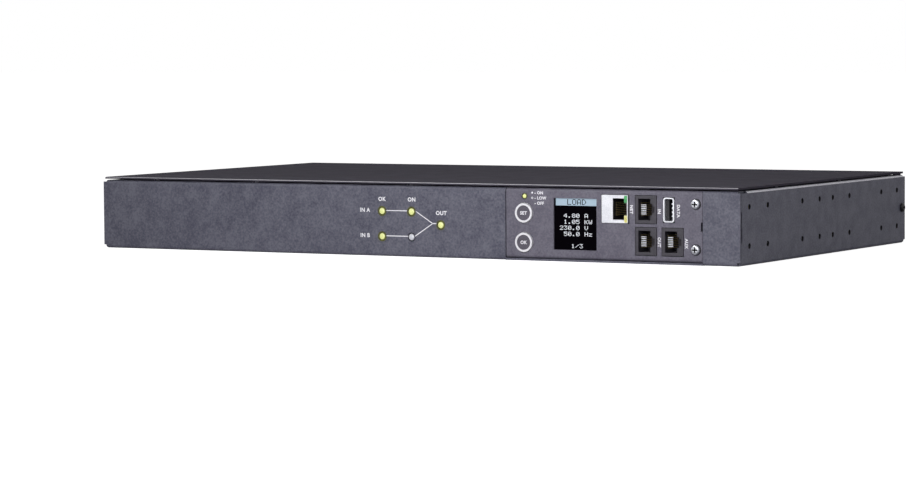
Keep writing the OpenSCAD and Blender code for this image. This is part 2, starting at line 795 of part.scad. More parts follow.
jack_places = [[window_x0 + jack_u, socket_top_z], [window_x0 + jack_u, socket_low_z],
               [window_x0 + sensor_u, socket_low_z]];
mouth_in = 1.9;
latch_step = 1.3;
latch_wide = 6.4;
latch_narrow = 3.9;
jack_proud = 0.2;
jack_front = yf - jack_proud;

// Mouth of a jack that lies on its side: the plug's contacts to the left, its latch to the right.
// The left edge of the full-width part is at x = 0.
function jack_mouth() =
    [[0, -plug_w / 2], [plug_h, -plug_w / 2], [plug_h, -latch_wide / 2],
     [plug_h + latch_step, -latch_wide / 2], [plug_h + latch_step, -latch_narrow / 2],
     [plug_h + 2 * latch_step, -latch_narrow / 2], [plug_h + 2 * latch_step, latch_narrow / 2],
     [plug_h + latch_step, latch_narrow / 2], [plug_h + latch_step, latch_wide / 2],
     [plug_h, latch_wide / 2], [plug_h, plug_w / 2], [0, plug_w / 2]];

module jack(place) {
    difference() {
        block_y(place[0], place[1], jack_w, jack_h, jack_front, module_back_y);
        translate([place[0] - jack_w / 2 + mouth_in, 0, place[1]])
            along_y(jack_front - cut, jack_front + plug_depth) polygon(jack_mouth());
    }
}

module input_jack() { color("#1d1c20") jack(jack_places[0]); }
module output_jack() { color("#1d1c20") jack(jack_places[1]); }
module sensor_jack() { color("#1d1c20") jack(jack_places[2]); }

// Network jack: a bright shield round a black insert, with two light windows by the mouth.
lan_extra = 0.7;
lan_blank_w = 7.1;
lan_mouth_x = window_x0 + lan_u - lan_w / 2 + lan_blank_w;
lan_mouth_w = 7.2;
lan_window_w = 2;
lan_window_h = 4;
lan_window_d = 4;
lan_notch_h = lan_h - 2 * (shield_t + lan_window_h) - 0.1;
// Mouth of the network jack between two places along Y, with the latch's notch between the windows.
module lan_mouth(y0, y1) {
    block_y(lan_mouth_x + lan_mouth_w / 2, socket_top_z, lan_mouth_w, plug_w, y0, y1);
    box([lan_mouth_x, y0, socket_top_z - lan_notch_h / 2],
        [lan_mouth_x + lan_mouth_w + lan_window_w - 0.2, y1, socket_top_z + lan_notch_h / 2]);
}

// Light window above (s = 1) or below (s = -1) the latch's notch, let out to the front by f.
module lan_window(s, f) {
    x1 = window_x0 + lan_u + lan_w / 2 - shield_t;
    z1 = socket_top_z + s * (lan_h / 2 - shield_t - lan_window_h / 2);
    block_y(x1 - lan_window_w / 2, z1, lan_window_w, lan_window_h, jack_front - f,
            jack_front + lan_window_d);
}

module lan_shield() {
    x = window_x0 + lan_u;
    color("#e4e4ea")
    difference() {
        block_y(x, socket_top_z, lan_w, lan_h, jack_front, module_back_y);
        block_y(x, socket_top_z, lan_w - 2 * shield_t, lan_h - 2 * shield_t, jack_front + shield_t,
                module_back_y + cut);
        lan_mouth(jack_front - cut, jack_front + shield_t + cut);
        for (s = [-1, 1])
            lan_window(s, cut);
    }
}

module lan_insert() {
    x = window_x0 + lan_u;
    inside = jack_front + shield_t;
    color("#18171a")
    difference() {
        block_y(x, socket_top_z, lan_w - 2 * shield_t, lan_h - 2 * shield_t, inside, module_back_y);
        lan_mouth(inside - cut, jack_front + plug_depth);
        for (s = [-1, 1])
            lan_window(s, 0);
    }
}

module link_led() { color("#3fa65a") lan_window(1, 0); }
module activity_led() { color("#d9cf55") lan_window(-1, 0); }

// Eight sprung contacts to a jack, sloping away from the plug.
contact_w = 0.5;
contact_t = 0.35;
contact_slope = 11;
contact_len = 9;
module contacts(x, z) {
    for (k = [0 : 7])
        translate([x + contact_len * sin(contact_slope), jack_front + plug_depth,
                   z + (k - 3.5) * contact_pitch - contact_w / 2])
            rotate([0, 0, -contact_slope]) translate([0, -contact_len, 0])
                cube([contact_t, contact_len, contact_w]);
}
module jack_contacts() {
    color("#c9b27c")
    union() {
        for (p = jack_places)
            contacts(p[0] - jack_w / 2 + mouth_in, p[1]);
        contacts(lan_mouth_x, socket_top_z);
    }
}

// USB socket standing on its short side.
usb_mouth_w = usb_w + 2 * (usb_t + usb_flare) - 0.4;
usb_mouth_h = usb_h + 2 * (usb_t + usb_flare);
usb_r = 0.9;
usb_deep = 12;
module usb_shell() {
    x = window_x0 + usb_u;
    color("#d8d8de")
    translate([x, 0, socket_top_z])
    difference() {
        union() {
            along_y(jack_front + usb_t, module_back_y)
                polygon(round_rect(usb_h + 2 * usb_t, usb_w + 2 * usb_t, usb_r));
            along_y(jack_front, jack_front + usb_t)
                polygon(round_rect(usb_mouth_h, usb_mouth_w, usb_r + usb_flare));
        }
        along_y(jack_front - cut, module_back_y - 2) polygon(round_rect(usb_h, usb_w, usb_r - usb_t));
    }
}

usb_tongue_w = 11.1;
usb_tongue_t = 1.8;
usb_side_gap = 0.6;
module usb_tongue() {
    x = window_x0 + usb_u - usb_h / 2 + usb_side_gap + usb_tongue_t / 2;
    color("#202024")
    union() {
        block_y(x, socket_top_z, usb_tongue_t, usb_tongue_w, jack_front + 1.2, jack_front + usb_deep);
        block_y(window_x0 + usb_u, socket_top_z, usb_h - 2 * usb_r, usb_w - 2 * usb_r,
                jack_front + usb_deep, module_back_y - 2);
    }
}

// Shrouded headers for the ribbon, one behind the module's board and one on the logic board.
header_wall = 1.2;
header_w = ribbon_w + 2 * header_wall + 2.6;
header_h = 9;
header_d = 8;
header_deep = 2;
key_w = 4.5;
module_plug_u = 30;
module_plug_z = 24;
// Header about the origin, its rows along X and its mouth upwards.
module header() {
    difference() {
        translate([-header_w / 2, -header_h / 2, 0]) cube([header_w, header_h, header_d]);
        translate([-header_w / 2 + header_wall, -header_h / 2 + header_wall, header_deep])
            cube([header_w - 2 * header_wall, header_h - 2 * header_wall, header_d]);
        translate([-key_w / 2, header_wall, header_deep]) cube([key_w, header_h, header_d]);
    }
}

module module_connector() {
    color("#26262b")
    translate([window_x0 + module_plug_u, module_back_y + board_t, module_plug_z])
        rotate([-90, 0, 0]) header();
}

// ---------------------------------------------------------------- rear sockets

// The two banks take as many outlets as the rear wall has room for.
bank_room = body_w - 2 * sheet_t - earth_w - 3 * inlet_w - 2 * breaker_w - 7 * rear_space;
outlet_count = floor(bank_room / 2 / outlet_pitch);
bank_w = outlet_pitch * outlet_count;
earth_x = -side_x + sheet_t + earth_w / 2;
earth_z = rear_z;
earth_extra_r = 0.5;
first_bank_x = -side_x + sheet_t + earth_w + bank_w / 2;
inlet_b_x = side_x - sheet_t - rear_space - inlet_w / 2;
inlet_a_x = inlet_b_x - inlet_w - rear_space;
outlet_c19_x = first_bank_x + 1.5 * bank_w + 2 * rear_space + inlet_w / 2;
function bank_x(k) = first_bank_x + k * (bank_w + rear_space);
function breaker_x(k) = inlet_a_x - inlet_w / 2 - rear_space - breaker_w / 2 - k * (breaker_w + rear_space);

c20_w = 31.6;
c20_h = 21.4;
c20_depth = 17;
c20_r = 2;
inlet_body_d = 24;
blade_w = 8;
blade_t = 2;
blade_x = 6.5;
blade_z = 4;
blade_in = 1.5;
tab_w = 6.3;
tab_t = 0.8;
tab_len = 8;
blade_places = [[-blade_x, -blade_z], [blade_x, -blade_z], [0, blade_z]];

module inlet(x) {
    difference() {
        union() {
            translate([x, 0, rear_z])
                along_y(yr, yr + rear_flange_t) polygon(round_rect(inlet_w, inlet_h, c20_r));
            block_y(x, rear_z, inlet_w - 2 * (flange_lap + rear_fit), inlet_h - 2 * (flange_lap + rear_fit),
                    yr + rear_flange_t - inlet_body_d, yr + rear_flange_t / 2);
        }
        translate([x, 0, rear_z])
            along_y(yr + rear_flange_t - c20_depth,
                    yr + rear_flange_t + cut) polygon(round_rect(c20_w, c20_h, c20_r));
        for (p = blade_places)
            block_y(x + p[0], rear_z + p[1], blade_w, blade_t, yr - inlet_body_d - cut, yr);
    }
}

module inlet_a() { color("#1b1b1e") inlet(inlet_a_x); }
module inlet_b() { color("#1b1b1e") inlet(inlet_b_x); }

module inlet_blades() {
    back = yr + rear_flange_t - inlet_body_d;
    color("#c4b48c")
    for (x = [inlet_a_x, inlet_b_x], p = blade_places)
        translate([x + p[0], 0, rear_z + p[1]])
            union() {
                block_y(0, 0, blade_w, blade_t, back, yr + rear_flange_t - blade_in);
                block_y(0, 0, tab_w, tab_t, back - tab_len, back + cut);
            }
}

// Outlet faces: a keyed core inside a groove, with a slot for each pin.
c13_w = 24;
c13_h = 16.4;
c13_key = 4.5;
c13_groove = 2.2;
outlet_body_d = 22;
groove_depth = 15;
slot_13 = [2.6, 4.6];
slot_19 = [8.6, 2.6];
c13_x = 7;
c13_z = 2;
c13_places = [[-c13_x, -c13_z], [c13_x, -c13_z], [0, c13_z]];
c19_core_w = 28.2;
c19_core_h = 18;
contact_in = 5;

module outlet_bank(x) {
    difference() {
        union() {
            translate([x, 0, rear_z])
                along_y(yr, yr + rear_flange_t) polygon(round_rect(bank_w, bank_h, c20_r));
            block_y(x, rear_z, bank_w - 2 * (flange_lap + rear_fit), bank_h - 2 * (flange_lap + rear_fit),
                    yr + rear_flange_t - outlet_body_d, yr + rear_flange_t / 2);
        }
        for (k = [0 : outlet_count - 1])
            translate([x + (k - (outlet_count - 1) / 2) * outlet_pitch, yr + rear_flange_t, rear_z])
                c13_cuts();
    }
}

module c13_cuts() {
    difference() {
        along_y(-groove_depth, cut)
            polygon(cut_rect(c13_w + 2 * c13_groove, c13_h + 2 * c13_groove, c13_key));
        along_y(-groove_depth - cut, 2 * cut)
            polygon(cut_rect(c13_w, c13_h, c13_key));
    }
    for (p = c13_places)
        block_y(p[0], p[1], slot_13[0], slot_13[1], -outlet_body_d - cut, cut);
}

module outlet_bank_1() { color("#1b1b1e") outlet_bank(bank_x(0)); }
module outlet_bank_2() { color("#1b1b1e") outlet_bank(bank_x(1)); }

module outlet_c19() {
    color("#1b1b1e")
    difference() {
        union() {
            translate([outlet_c19_x, 0, rear_z])
                along_y(yr, yr + rear_flange_t) polygon(round_rect(inlet_w, inlet_h, c20_r));
            block_y(outlet_c19_x, rear_z, inlet_w - 2 * (flange_lap + rear_fit),
                    inlet_h - 2 * (flange_lap + rear_fit), yr + rear_flange_t - outlet_body_d,
                    yr + rear_flange_t / 2);
        }
        translate([outlet_c19_x, yr + rear_flange_t, rear_z]) {
            difference() {
                along_y(-groove_depth, cut) polygon(round_rect(c20_w, c20_h + 0.8, c20_r));
                along_y(-groove_depth - cut, 2 * cut)
                    polygon(round_rect(c19_core_w - 0.6, c19_core_h, c20_r / 2));
            }
            for (p = blade_places)
                block_y(p[0], p[1], slot_19[0], slot_19[1], -outlet_body_d - cut, cut);
        }
    }
}

// Sprung sleeve contacts inside the slots, each with a tab behind the body.
module outlet_contacts() {
    color("#c4b48c")
    union() {
        for (b = [0, 1], k = [0 : outlet_count - 1], p = c13_places)
            translate([bank_x(b) + (k - (outlet_count - 1) / 2) * outlet_pitch + p[0], yr + rear_flange_t,
                       rear_z + p[1]])
                sleeve(slot_13[0], slot_13[1], tab_t, slot_13[1]);
        for (p = blade_places)
            translate([outlet_c19_x + p[0], yr + rear_flange_t, rear_z + p[1]])
                sleeve(slot_19[0], slot_19[1], tab_w, tab_t);
    }
}

sleeve_t = 0.3;
module sleeve(w, h, tw, th) {
    difference() {
        block_y(0, 0, w, h, -outlet_body_d, -contact_in);
        block_y(0, 0, w - 2 * sleeve_t, h - 2 * sleeve_t, -outlet_body_d + 2, cut);
    }
    block_y(0, 0, tw, th, -outlet_body_d - tab_len, -outlet_body_d + cut / 2);
}

// Push-to-reset circuit breakers.
breaker_body_d = 26;
reset_gap = 0.15;
reset_depth = 14;
module breaker(k) {
    x = breaker_x(k);
    difference() {
        union() {
            translate([x, 0, rear_z])
                along_y(yr, yr + rear_flange_t) polygon(round_rect(breaker_w, breaker_h, c20_r));
            block_y(x, rear_z, breaker_w - 2 * (flange_lap + rear_fit),
                    breaker_h - 2 * (flange_lap + rear_fit),
                    yr + rear_flange_t - breaker_body_d, yr + rear_flange_t / 2);
            for (z = [-breaker_tab_z, breaker_tab_z])
                block_y(x, rear_z + z, tab_t, tab_w, yr + rear_flange_t - breaker_body_d - tab_len,
                        yr + rear_flange_t - breaker_body_d + cut);
        }
        rod_y(x, rear_z, reset_d / 2 + reset_gap, yr + rear_flange_t - reset_depth - reset_gap,
              yr + rear_flange_t + cut);
    }
}
breaker_tab_z = 8;

// The button stands level with the flange while the breaker is closed.
module breaker_reset(k) {
    rod_y(breaker_x(k), rear_z, reset_d / 2, yr + rear_flange_t - reset_depth, yr + rear_flange_t);
}

module breaker_1() { color("#232327") breaker(0); }
module breaker_2() { color("#232327") breaker(1); }
module breaker_reset_1() { color("#e2e2e2") breaker_reset(0); }
module breaker_reset_2() { color("#e2e2e2") breaker_reset(1); }

// Earth stud with its two nuts, through the rear wall.
stud_in = 9;
nut_t = 2.4;
nut_af = 7;
earth_nut_t = 1.2;
module earth_stud() {
    r = screw_r + earth_extra_r;
    color("#c9c9cf")
    union() {
        rod_y(earth_x, earth_z, r, rear_in - stud_in, yr + rear_flange_t);
        for (y = [rear_in - nut_t, yr])
            translate([earth_x, y, earth_z]) rotate([-90, 0, 0])
                cylinder(d = nut_af / cos(30), h = y < yr ? nut_t : earth_nut_t, $fn = 6);
    }
}

// ---------------------------------------------------------------- boards

board_top = board_z + board_t;
board_x1 = side_x - board_side;
power_y1 = yr - power_board_back;
logic_x0 = -board_x1;
logic_x1 = window_x0 - logic_gap;
logic_y0 = yf + logic_board_y;
logic_y1 = logic_y0 + logic_board_d;
power_y0 = logic_y1 + board_gap;
post_in = 5;
board_posts = concat([for (x = [-board_x1 + post_in, 0, board_x1 - post_in]) [x, power_y0 + post_in]],
                     [for (x = [-board_x1 + post_in, 0, (inlet_a_x + inlet_b_x) / 2])
                         [x, power_y1 - post_in]],
                     [for (x = [logic_x0 + post_in, logic_x1 - post_in],
                           y = [logic_y0 + post_in, logic_y1 - post_in]) [x, y]]);

module power_board() {
    color("#1f5a3a")
    difference() {
        box([-board_x1, power_y0, board_z], [board_x1, power_y1, board_top]);
        board_holes();
    }
}

module logic_board() {
    color("#1f5a3a")
    difference() {
        box([logic_x0, logic_y0, board_z], [logic_x1, logic_y1, board_top]);
        board_holes();
    }
}

module board_holes() {
    for (p = board_posts)
        translate([p[0], p[1], board_z - cut]) cylinder(r = screw_hole_r, h = board_t + 2 * cut);
}

// Controller chip, and the header that the ribbon plugs into.
chip_w = 20;
chip_t = 1.6;
header_in = 13;
header_x = logic_x1 - header_in;
ribbon_y0 = module_back_y + board_t + header_d + ribbon_t;
header_y = ribbon_y0 + ribbon_w / 2;
logic_mid_x = (logic_x0 + logic_x1) / 2;
logic_mid_y = (logic_y0 + logic_y1) / 2;
module processor() {
    color("#1a1a1d")
    union() {
        translate([logic_mid_x - chip_w / 2, logic_mid_y - chip_w / 2, board_top])
            cube([chip_w, chip_w, chip_t]);
        translate([header_x, header_y, board_top]) rotate([0, 0, 90]) header();
    }
}

// Finned heatsink standing on the power board, fins to the rear.
sink_x0 = -64;
sink_in = 46;
sink_y = power_y0 + sink_in;
fin_pitch = (sink_w - fin_root) / (fin_count - 1);
module heatsink() {
    color("#a9abb0")
    translate([sink_x0, sink_y, board_top])
        linear_extrude(sink_h)
            union() {
                square([sink_w, sink_base]);
                for (k = [0 : fin_count - 1])
                    translate([fin_root / 2 + k * fin_pitch, sink_base - fin_foot])
                        polygon([[-fin_root / 2, 0], [fin_root / 2, 0], [fin_tip / 2, fin_len],
                                 [-fin_tip / 2, fin_len]]);
            }
}
fin_foot = 0.5;

// Thyristors clamped to the front of the heatsink, their legs in the board.
thy_w = 15.8;
thy_t = 5;
thy_h = 20;
thy_lift = 5;
leg_w = 1.2;
leg_t = 0.7;
leg_pitch = 5.45;
module thyristors() {
    step = sink_w / thyristor_count;
    color("#1c1c20")
    for (k = [0 : thyristor_count - 1])
        translate([sink_x0 + step * (k + 0.5), sink_y - thy_t, board_top])
            union() {
                box([-thy_w / 2, 0, thy_lift], [thy_w / 2, thy_t, thy_lift + thy_h]);
                for (j = [-1, 0, 1])
                    box([j * leg_pitch - leg_w / 2, thy_t / 2 - leg_t / 2, 0],
                        [j * leg_pitch + leg_w / 2, thy_t / 2 + leg_t / 2, thy_lift + cut / 2]);
            }
}

// Sealed relays that stop a live source feeding back into a dead one.
relay_w = 29;
relay_d = 26;
relay_h = 22;
relay_gap = 5;
relay_in = 8;
relay_x0 = sink_x0 + sink_w + relay_gap;
relay_y0 = power_y0 + relay_in;
module backfeed_relays() {
    color("#23242a")
    for (i = [0, 1], j = [0, 1])
        translate([relay_x0 + i * (relay_w + relay_gap), relay_y0 + j * (relay_d + relay_gap), board_top])
            union() {
                box([0, 0, 0], [relay_w, relay_d, 2]);
                box([0.5, 0.5, 2], [relay_w - 0.5, relay_d - 0.5, relay_h]);
            }
}

// Ring current transformers, each standing in a foot.
ring_r = 12;
ring_hole_r = 5;
ring_t = 10;
foot_h = 3;
ring_in = 22;
foot_lap = 1;
ring_pitch = 38;
module current_sensors() {
    color("#23427a")
    for (k = [0 : 2])
        translate([sink_x0 + ring_in + k * ring_pitch, power_y1 - ring_in, board_top + foot_h - foot_lap])
            difference() {
                union() {
                    translate([0, 0, ring_r]) rotate([-90, 0, 0]) cylinder(r = ring_r, h = ring_t);
                    box([-ring_r, 0, foot_lap - foot_h], [ring_r, ring_t, foot_h]);
                }
                translate([0, -cut, ring_r]) rotate([-90, 0, 0])
                    cylinder(r = ring_hole_r, h = ring_t + 2 * cut);
            }
}

// Common-mode chokes: a ring core with two wound halves, flat on the board.
choke_r = 16;
choke_hole_r = 7;
choke_h = 13;
winding = 2;
choke_in = 28;
choke_shift = 4;
choke_y = power_y1 - choke_in;
choke_x = [inlet_a_x - choke_shift, inlet_b_x - choke_shift];
module chokes() {
    color("#8c4a25")
    for (x = choke_x)
        translate([x, choke_y, board_top])
            union() {
                translate([0, 0, winding]) rotate_extrude()
                    translate([choke_hole_r, 0]) square([choke_r - choke_hole_r, choke_h]);
                for (a = [15, 195])
                    rotate([0, 0, a]) rotate_extrude(angle = 150)
                        translate([choke_hole_r - winding, 0])
                            square([choke_r - choke_hole_r + 2 * winding, choke_h + 2 * winding]);
            }
}

// Boxed suppression capacitors.
cap_w = 26;
cap_d = 10;
cap_h = 19;
cap_gap = 3;
module filter_capacitors() {
    color("#c9a227")
    for (x = choke_x, k = [0, 1])
        translate([x - cap_w / 2, choke_y - choke_r - winding - (k + 1) * (cap_d + cap_gap) + cap_gap / 2,
                   board_top])
            cube([cap_w, cap_d, cap_h]);
}

// Two auxiliary supplies, one to each source: ferrite transformers and their capacitors.
supply_in = 36;
supply_pitch = 60;
supply_back = 34;
supply_x = [-board_x1 + supply_in, -board_x1 + supply_in + supply_pitch];
core_lift = 3;
core_w = 26;
core_d = 22;
core_h = 20;
bobbin_w = 18;
bobbin_d = 28;
module supply_transformers() {
    color("#3a3a3f")
    for (x = supply_x)
        translate([x, power_y0 + supply_back, board_top])
            union() {
                box([-core_w / 2, -core_d / 2, core_lift], [core_w / 2, core_d / 2, core_h]);
                box([-bobbin_w / 2, -bobbin_d / 2, 0], [bobbin_w / 2, bobbin_d / 2, core_h - core_lift]);
            }
}

can_r = 8;
can_h = 25;
can_bead = 0.6;
can_pitch = 20;
can_back = 76;
module supply_capacitors() {
    color("#2a3350")
    for (x = supply_x, s = [-1, 1])
        translate([x + s * can_pitch / 2, power_y0 + can_back, board_top])
            rotate_extrude()
                polygon([[0, 0], [can_r, 0], [can_r, can_h * 0.12], [can_r - can_bead, can_h * 0.16],
                         [can_r, can_h * 0.2], [can_r, can_h - can_bead],
                         [can_r - can_bead, can_h], [0, can_h]]);
}

// Hexagonal standoffs under the boards and behind the front.
module standoff(h) {
    difference() {
        cylinder(d = standoff_af / cos(30), h = h, $fn = 6);
        translate([0, 0, -cut]) cylinder(r = screw_hole_r - screw_gap / 2, h = h + 2 * cut);
    }
}

module standoffs() {
    color("#c8b26a")
    union() {
        for (p = board_posts)
            translate([p[0], p[1], floor_z]) standoff(board_z - floor_z);
        for (p = led_posts)
            translate([p[0], wall_in, p[1]]) rotate([-90, 0, 0]) standoff(led_board_gap);
        for (p = module_posts)
            translate([p[0], wall_in, p[1]]) rotate([-90, 0, 0]) standoff(module_back_y - wall_in);
    }
}

module board_screws() {
    color("#c9c9cf")
    union() {
        for (p = board_posts)
            translate([p[0], p[1], board_top]) pan_screw(screw_len);
        for (p = led_posts)
            translate([p[0], led_board_y + board_t, p[1]]) rotate([-90, 0, 0]) pan_screw(screw_len);
        for (p = module_posts)
            translate([p[0], module_back_y + board_t, p[1]]) rotate([-90, 0, 0]) pan_screw(screw_len);
    }
}

// Insulating sheet on the floor under the power board.
sheet_film_t = 0.4;
film_gap = 0.5;
module insulating_sheet() {
    color("#d8d2b8")
    difference() {
        box([-board_x1, power_y0, floor_z], [board_x1, power_y1, floor_z + sheet_film_t]);
        for (p = board_posts)
            translate([p[0], p[1], floor_z - cut])
                cylinder(r = standoff_af / 2 / cos(30) + film_gap, h = 3 * cut);
    }
}

// ---------------------------------------------------------------- wiring

wire_land = 5;
module input_wires() {
    back = yr + rear_flange_t - inlet_body_d - tab_len;
    color("#8a2a26")
    for (x = [inlet_a_x, inlet_b_x], p = blade_places)
        wire([[x + p[0], back, rear_z + p[1]], [x + p[0], power_y1 - wire_land + p[1] / 2, rear_z + p[1]],
              [x + p[0], power_y1 - wire_land + p[1] / 2, board_top]], wire_d);
}

module output_wires() {
    back = yr + rear_flange_t - outlet_body_d - tab_len;
    color("#23334f")
    union() {
        for (b = [0, 1], p = c13_places)
            wire([[bank_x(b) + outlet_pitch / 2 + p[0], back, rear_z + p[1]],
                  [bank_x(b) + outlet_pitch / 2 + p[0], power_y1 - wire_land, rear_z + p[1]],
                  [bank_x(b) + outlet_pitch / 2 + p[0], power_y1 - wire_land, board_top]], wire_d);
        for (p = blade_places)
            wire([[outlet_c19_x + p[0], back, rear_z + p[1]],
                  [outlet_c19_x + p[0], power_y1 - wire_land, rear_z + p[1]],
                  [outlet_c19_x + p[0], power_y1 - wire_land, board_top]], wire_d);
        for (k = [0, 1], z = [-breaker_tab_z, breaker_tab_z])
            wire([[breaker_x(k), yr + rear_flange_t - breaker_body_d - tab_len, rear_z + z],
                  [breaker_x(k), power_y1 - wire_land - z / 4, rear_z + z],
                  [breaker_x(k), power_y1 - wire_land - z / 4, board_top]], wire_d);
    }
}

// Flat ribbon. It leaves the module's header to the rear, is folded over at 45 degrees, runs
// to the left and turns down into the logic board's header.
ribbon_bend_r = 3;
module ribbon_cable() {
    x = window_x0 + module_plug_u;
    y0 = module_back_y + board_t + header_deep;
    half = ribbon_w / 2;
    low = module_plug_z - ribbon_t;
    high = module_plug_z + ribbon_t;
    color("#8d8f96")
    union() {
        along_z(low, module_plug_z)
            polygon([[x - half, y0], [x + half, y0], [x + half, ribbon_y0],
                     [x - half, ribbon_y0 + ribbon_w]]);
        along_z(module_plug_z, high)
            polygon([[x - half - ribbon_bend_r, ribbon_y0], [x + half, ribbon_y0],
                     [x - half, ribbon_y0 + ribbon_w],
                     [x - half - ribbon_bend_r, ribbon_y0 + ribbon_w]]);
        along_y(ribbon_y0, ribbon_y0 + ribbon_w)
            polygon(folded([[x - half, high], [header_x - ribbon_t / 2, high],
                            [header_x - ribbon_t / 2, board_top + header_deep]], ribbon_t, ribbon_bend_r));
    }
}

chassis_tray();
top_cover();
cover_screws();
indicator_board();
input_a_led();
input_b_led();
selected_a_led();
selected_b_led();
output_led();
module_plate();
module_board();
module_screws();
health_led();
lcd_pane();
lcd_module();
select_button();
select_inlay();
enter_button();
enter_inlay();
tact_switches();
lan_shield();
lan_insert();
link_led();
activity_led();
input_jack();
output_jack();
sensor_jack();
jack_contacts();
usb_shell();
usb_tongue();
module_connector();
inlet_a();
inlet_b();
inlet_blades();
outlet_bank_1();
outlet_bank_2();
outlet_c19();
outlet_contacts();
breaker_1();
breaker_2();
breaker_reset_1();
breaker_reset_2();
earth_stud();
power_board();
logic_board();
processor();
heatsink();
thyristors();
backfeed_relays();
current_sensors();
chokes();
filter_capacitors();
supply_transformers();
supply_capacitors();
standoffs();
board_screws();
input_wires();
output_wires();
ribbon_cable();
insulating_sheet();
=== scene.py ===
import math

import bmesh
import bpy
from mathutils import Matrix, Vector


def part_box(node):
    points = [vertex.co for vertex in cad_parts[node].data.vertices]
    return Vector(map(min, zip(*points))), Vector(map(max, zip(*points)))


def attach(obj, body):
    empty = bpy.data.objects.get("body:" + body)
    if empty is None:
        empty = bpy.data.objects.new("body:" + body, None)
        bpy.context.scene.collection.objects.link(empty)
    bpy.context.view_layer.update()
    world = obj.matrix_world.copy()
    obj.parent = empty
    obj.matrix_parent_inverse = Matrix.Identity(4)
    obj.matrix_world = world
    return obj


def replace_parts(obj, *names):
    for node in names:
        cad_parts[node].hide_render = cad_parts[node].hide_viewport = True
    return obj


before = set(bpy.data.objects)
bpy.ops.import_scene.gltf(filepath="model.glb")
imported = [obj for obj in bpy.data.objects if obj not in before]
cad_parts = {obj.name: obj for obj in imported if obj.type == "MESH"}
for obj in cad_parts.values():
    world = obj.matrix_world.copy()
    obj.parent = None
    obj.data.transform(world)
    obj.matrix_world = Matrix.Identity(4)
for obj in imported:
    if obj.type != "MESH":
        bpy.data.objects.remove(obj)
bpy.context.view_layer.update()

mm = 0.001
scene = bpy.context.scene
scene.view_settings.view_transform = "Standard"


def toLinear(hexColour):
    # sRGB hex to the linear colour that the shaders take
    channels = [int(hexColour[k:k + 2], 16) / 255 for k in (1, 3, 5)]
    return tuple(c / 12.92 if c <= 0.04045 else ((c + 0.055) / 1.055) ** 2.4 for c in channels) + (1.0,)


def socketOf(sockets, key):
    # a Mix node has several sockets of one name, of which the enabled one counts
    return sockets[key] if isinstance(key, int) else next(s for s in sockets if s.name == key and s.enabled)


def addNode(tree, kind, settings=None, links=None):
    # adds a node, sets its properties or inputs, and links its inputs
    node = tree.nodes.new(kind)
    for key, value in (settings or {}).items():
        if isinstance(key, str) and key in node.bl_rna.properties:
            setattr(node, key, value)
        else:
            socketOf(node.inputs, key).default_value = value
    for key, source in (links or {}).items():
        if isinstance(source, tuple):
            source = socketOf(source[0].outputs, source[1])
        tree.links.new(source, socketOf(node.inputs, key))
    return node


def middle(node):
    low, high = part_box(node)
    return (low + high) / 2


def startMaterial(name, look):
    # a Principled shader with the plain values of the look, and Object coordinates
    material = bpy.data.materials.new(name)
    material.use_nodes = True
    tree = material.node_tree
    shader = tree.nodes["Principled BSDF"]
    shader.inputs["Base Color"].default_value = toLinear(look["colour"])
    shader.inputs["Metallic"].default_value = look.get("metallic", 0.0)
    shader.inputs["Roughness"].default_value = look["roughness"]
    shader.inputs["Specular IOR Level"].default_value = look.get("specular", 0.5)
    coords = addNode(tree, "ShaderNodeTexCoord")
    return material, tree, shader, coords.outputs["Object"]


def noiseOf(tree, place, sizeMm, detail):
    # noise with features of that size
    noise = addNode(tree, "ShaderNodeTexNoise", {"Scale": 1 / (sizeMm * mm), "Detail": detail},
                    {"Vector": place})
    return noise.outputs["Fac"]


def twoTones(tree, source, low, lowColour, high, highColour):
    # a ramp from one colour to another between two values of the source
    ramp = addNode(tree, "ShaderNodeValToRGB", {}, {"Fac": source})
    for stop, position, colour in zip(ramp.color_ramp.elements, (low, high), (lowColour, highColour)):
        stop.position = position
        stop.color = toLinear(colour)
    return ramp.outputs["Color"]


def roughnessFrom(tree, shader, source, look):
    # roughness that rises and falls with the source, about the look's own
    rough = addNode(tree, "ShaderNodeMapRange",
                    {"From Min": 0.3, "From Max": 0.7, "To Min": look["roughness"] - look["roughSpread"],
                     "To Max": look["roughness"] + look["roughSpread"]}, {"Value": source})
    tree.links.new(rough.outputs["Result"], shader.inputs["Roughness"])


def reliefFrom(tree, shader, source, look):
    relief = addNode(tree, "ShaderNodeBump", {"Strength": look["relief"], "Distance": look["reliefMm"] * mm},
                     {"Height": source})
    tree.links.new(relief.outputs["Normal"], shader.inputs["Normal"])


def grainFinish(name, look):
    # fine grain over broad blotches, in colour, roughness and relief
    material, tree, shader, place = startMaterial(name, look)
    blotchShare, toneLow, toneHigh = 0.35, 0.36, 0.64
    turned = addNode(tree, "ShaderNodeMapping", {"Scale": look.get("stretch", (1, 1, 1))}, {"Vector": place})
    grain = noiseOf(tree, turned.outputs["Vector"], look["grainMm"], 2.0)
    blotch = noiseOf(tree, turned.outputs["Vector"], look["blotchMm"], 1.0)
    blend = addNode(tree, "ShaderNodeMix", {"data_type": "FLOAT", "Factor": blotchShare},
                    {"A": grain, "B": blotch})
    tone = twoTones(tree, socketOf(blend.outputs, "Result"), toneLow, look["dark"], toneHigh, look["light"])
    tree.links.new(tone, shader.inputs["Base Color"])
    roughnessFrom(tree, shader, grain, look)
    reliefFrom(tree, shader, grain, look)
    return material


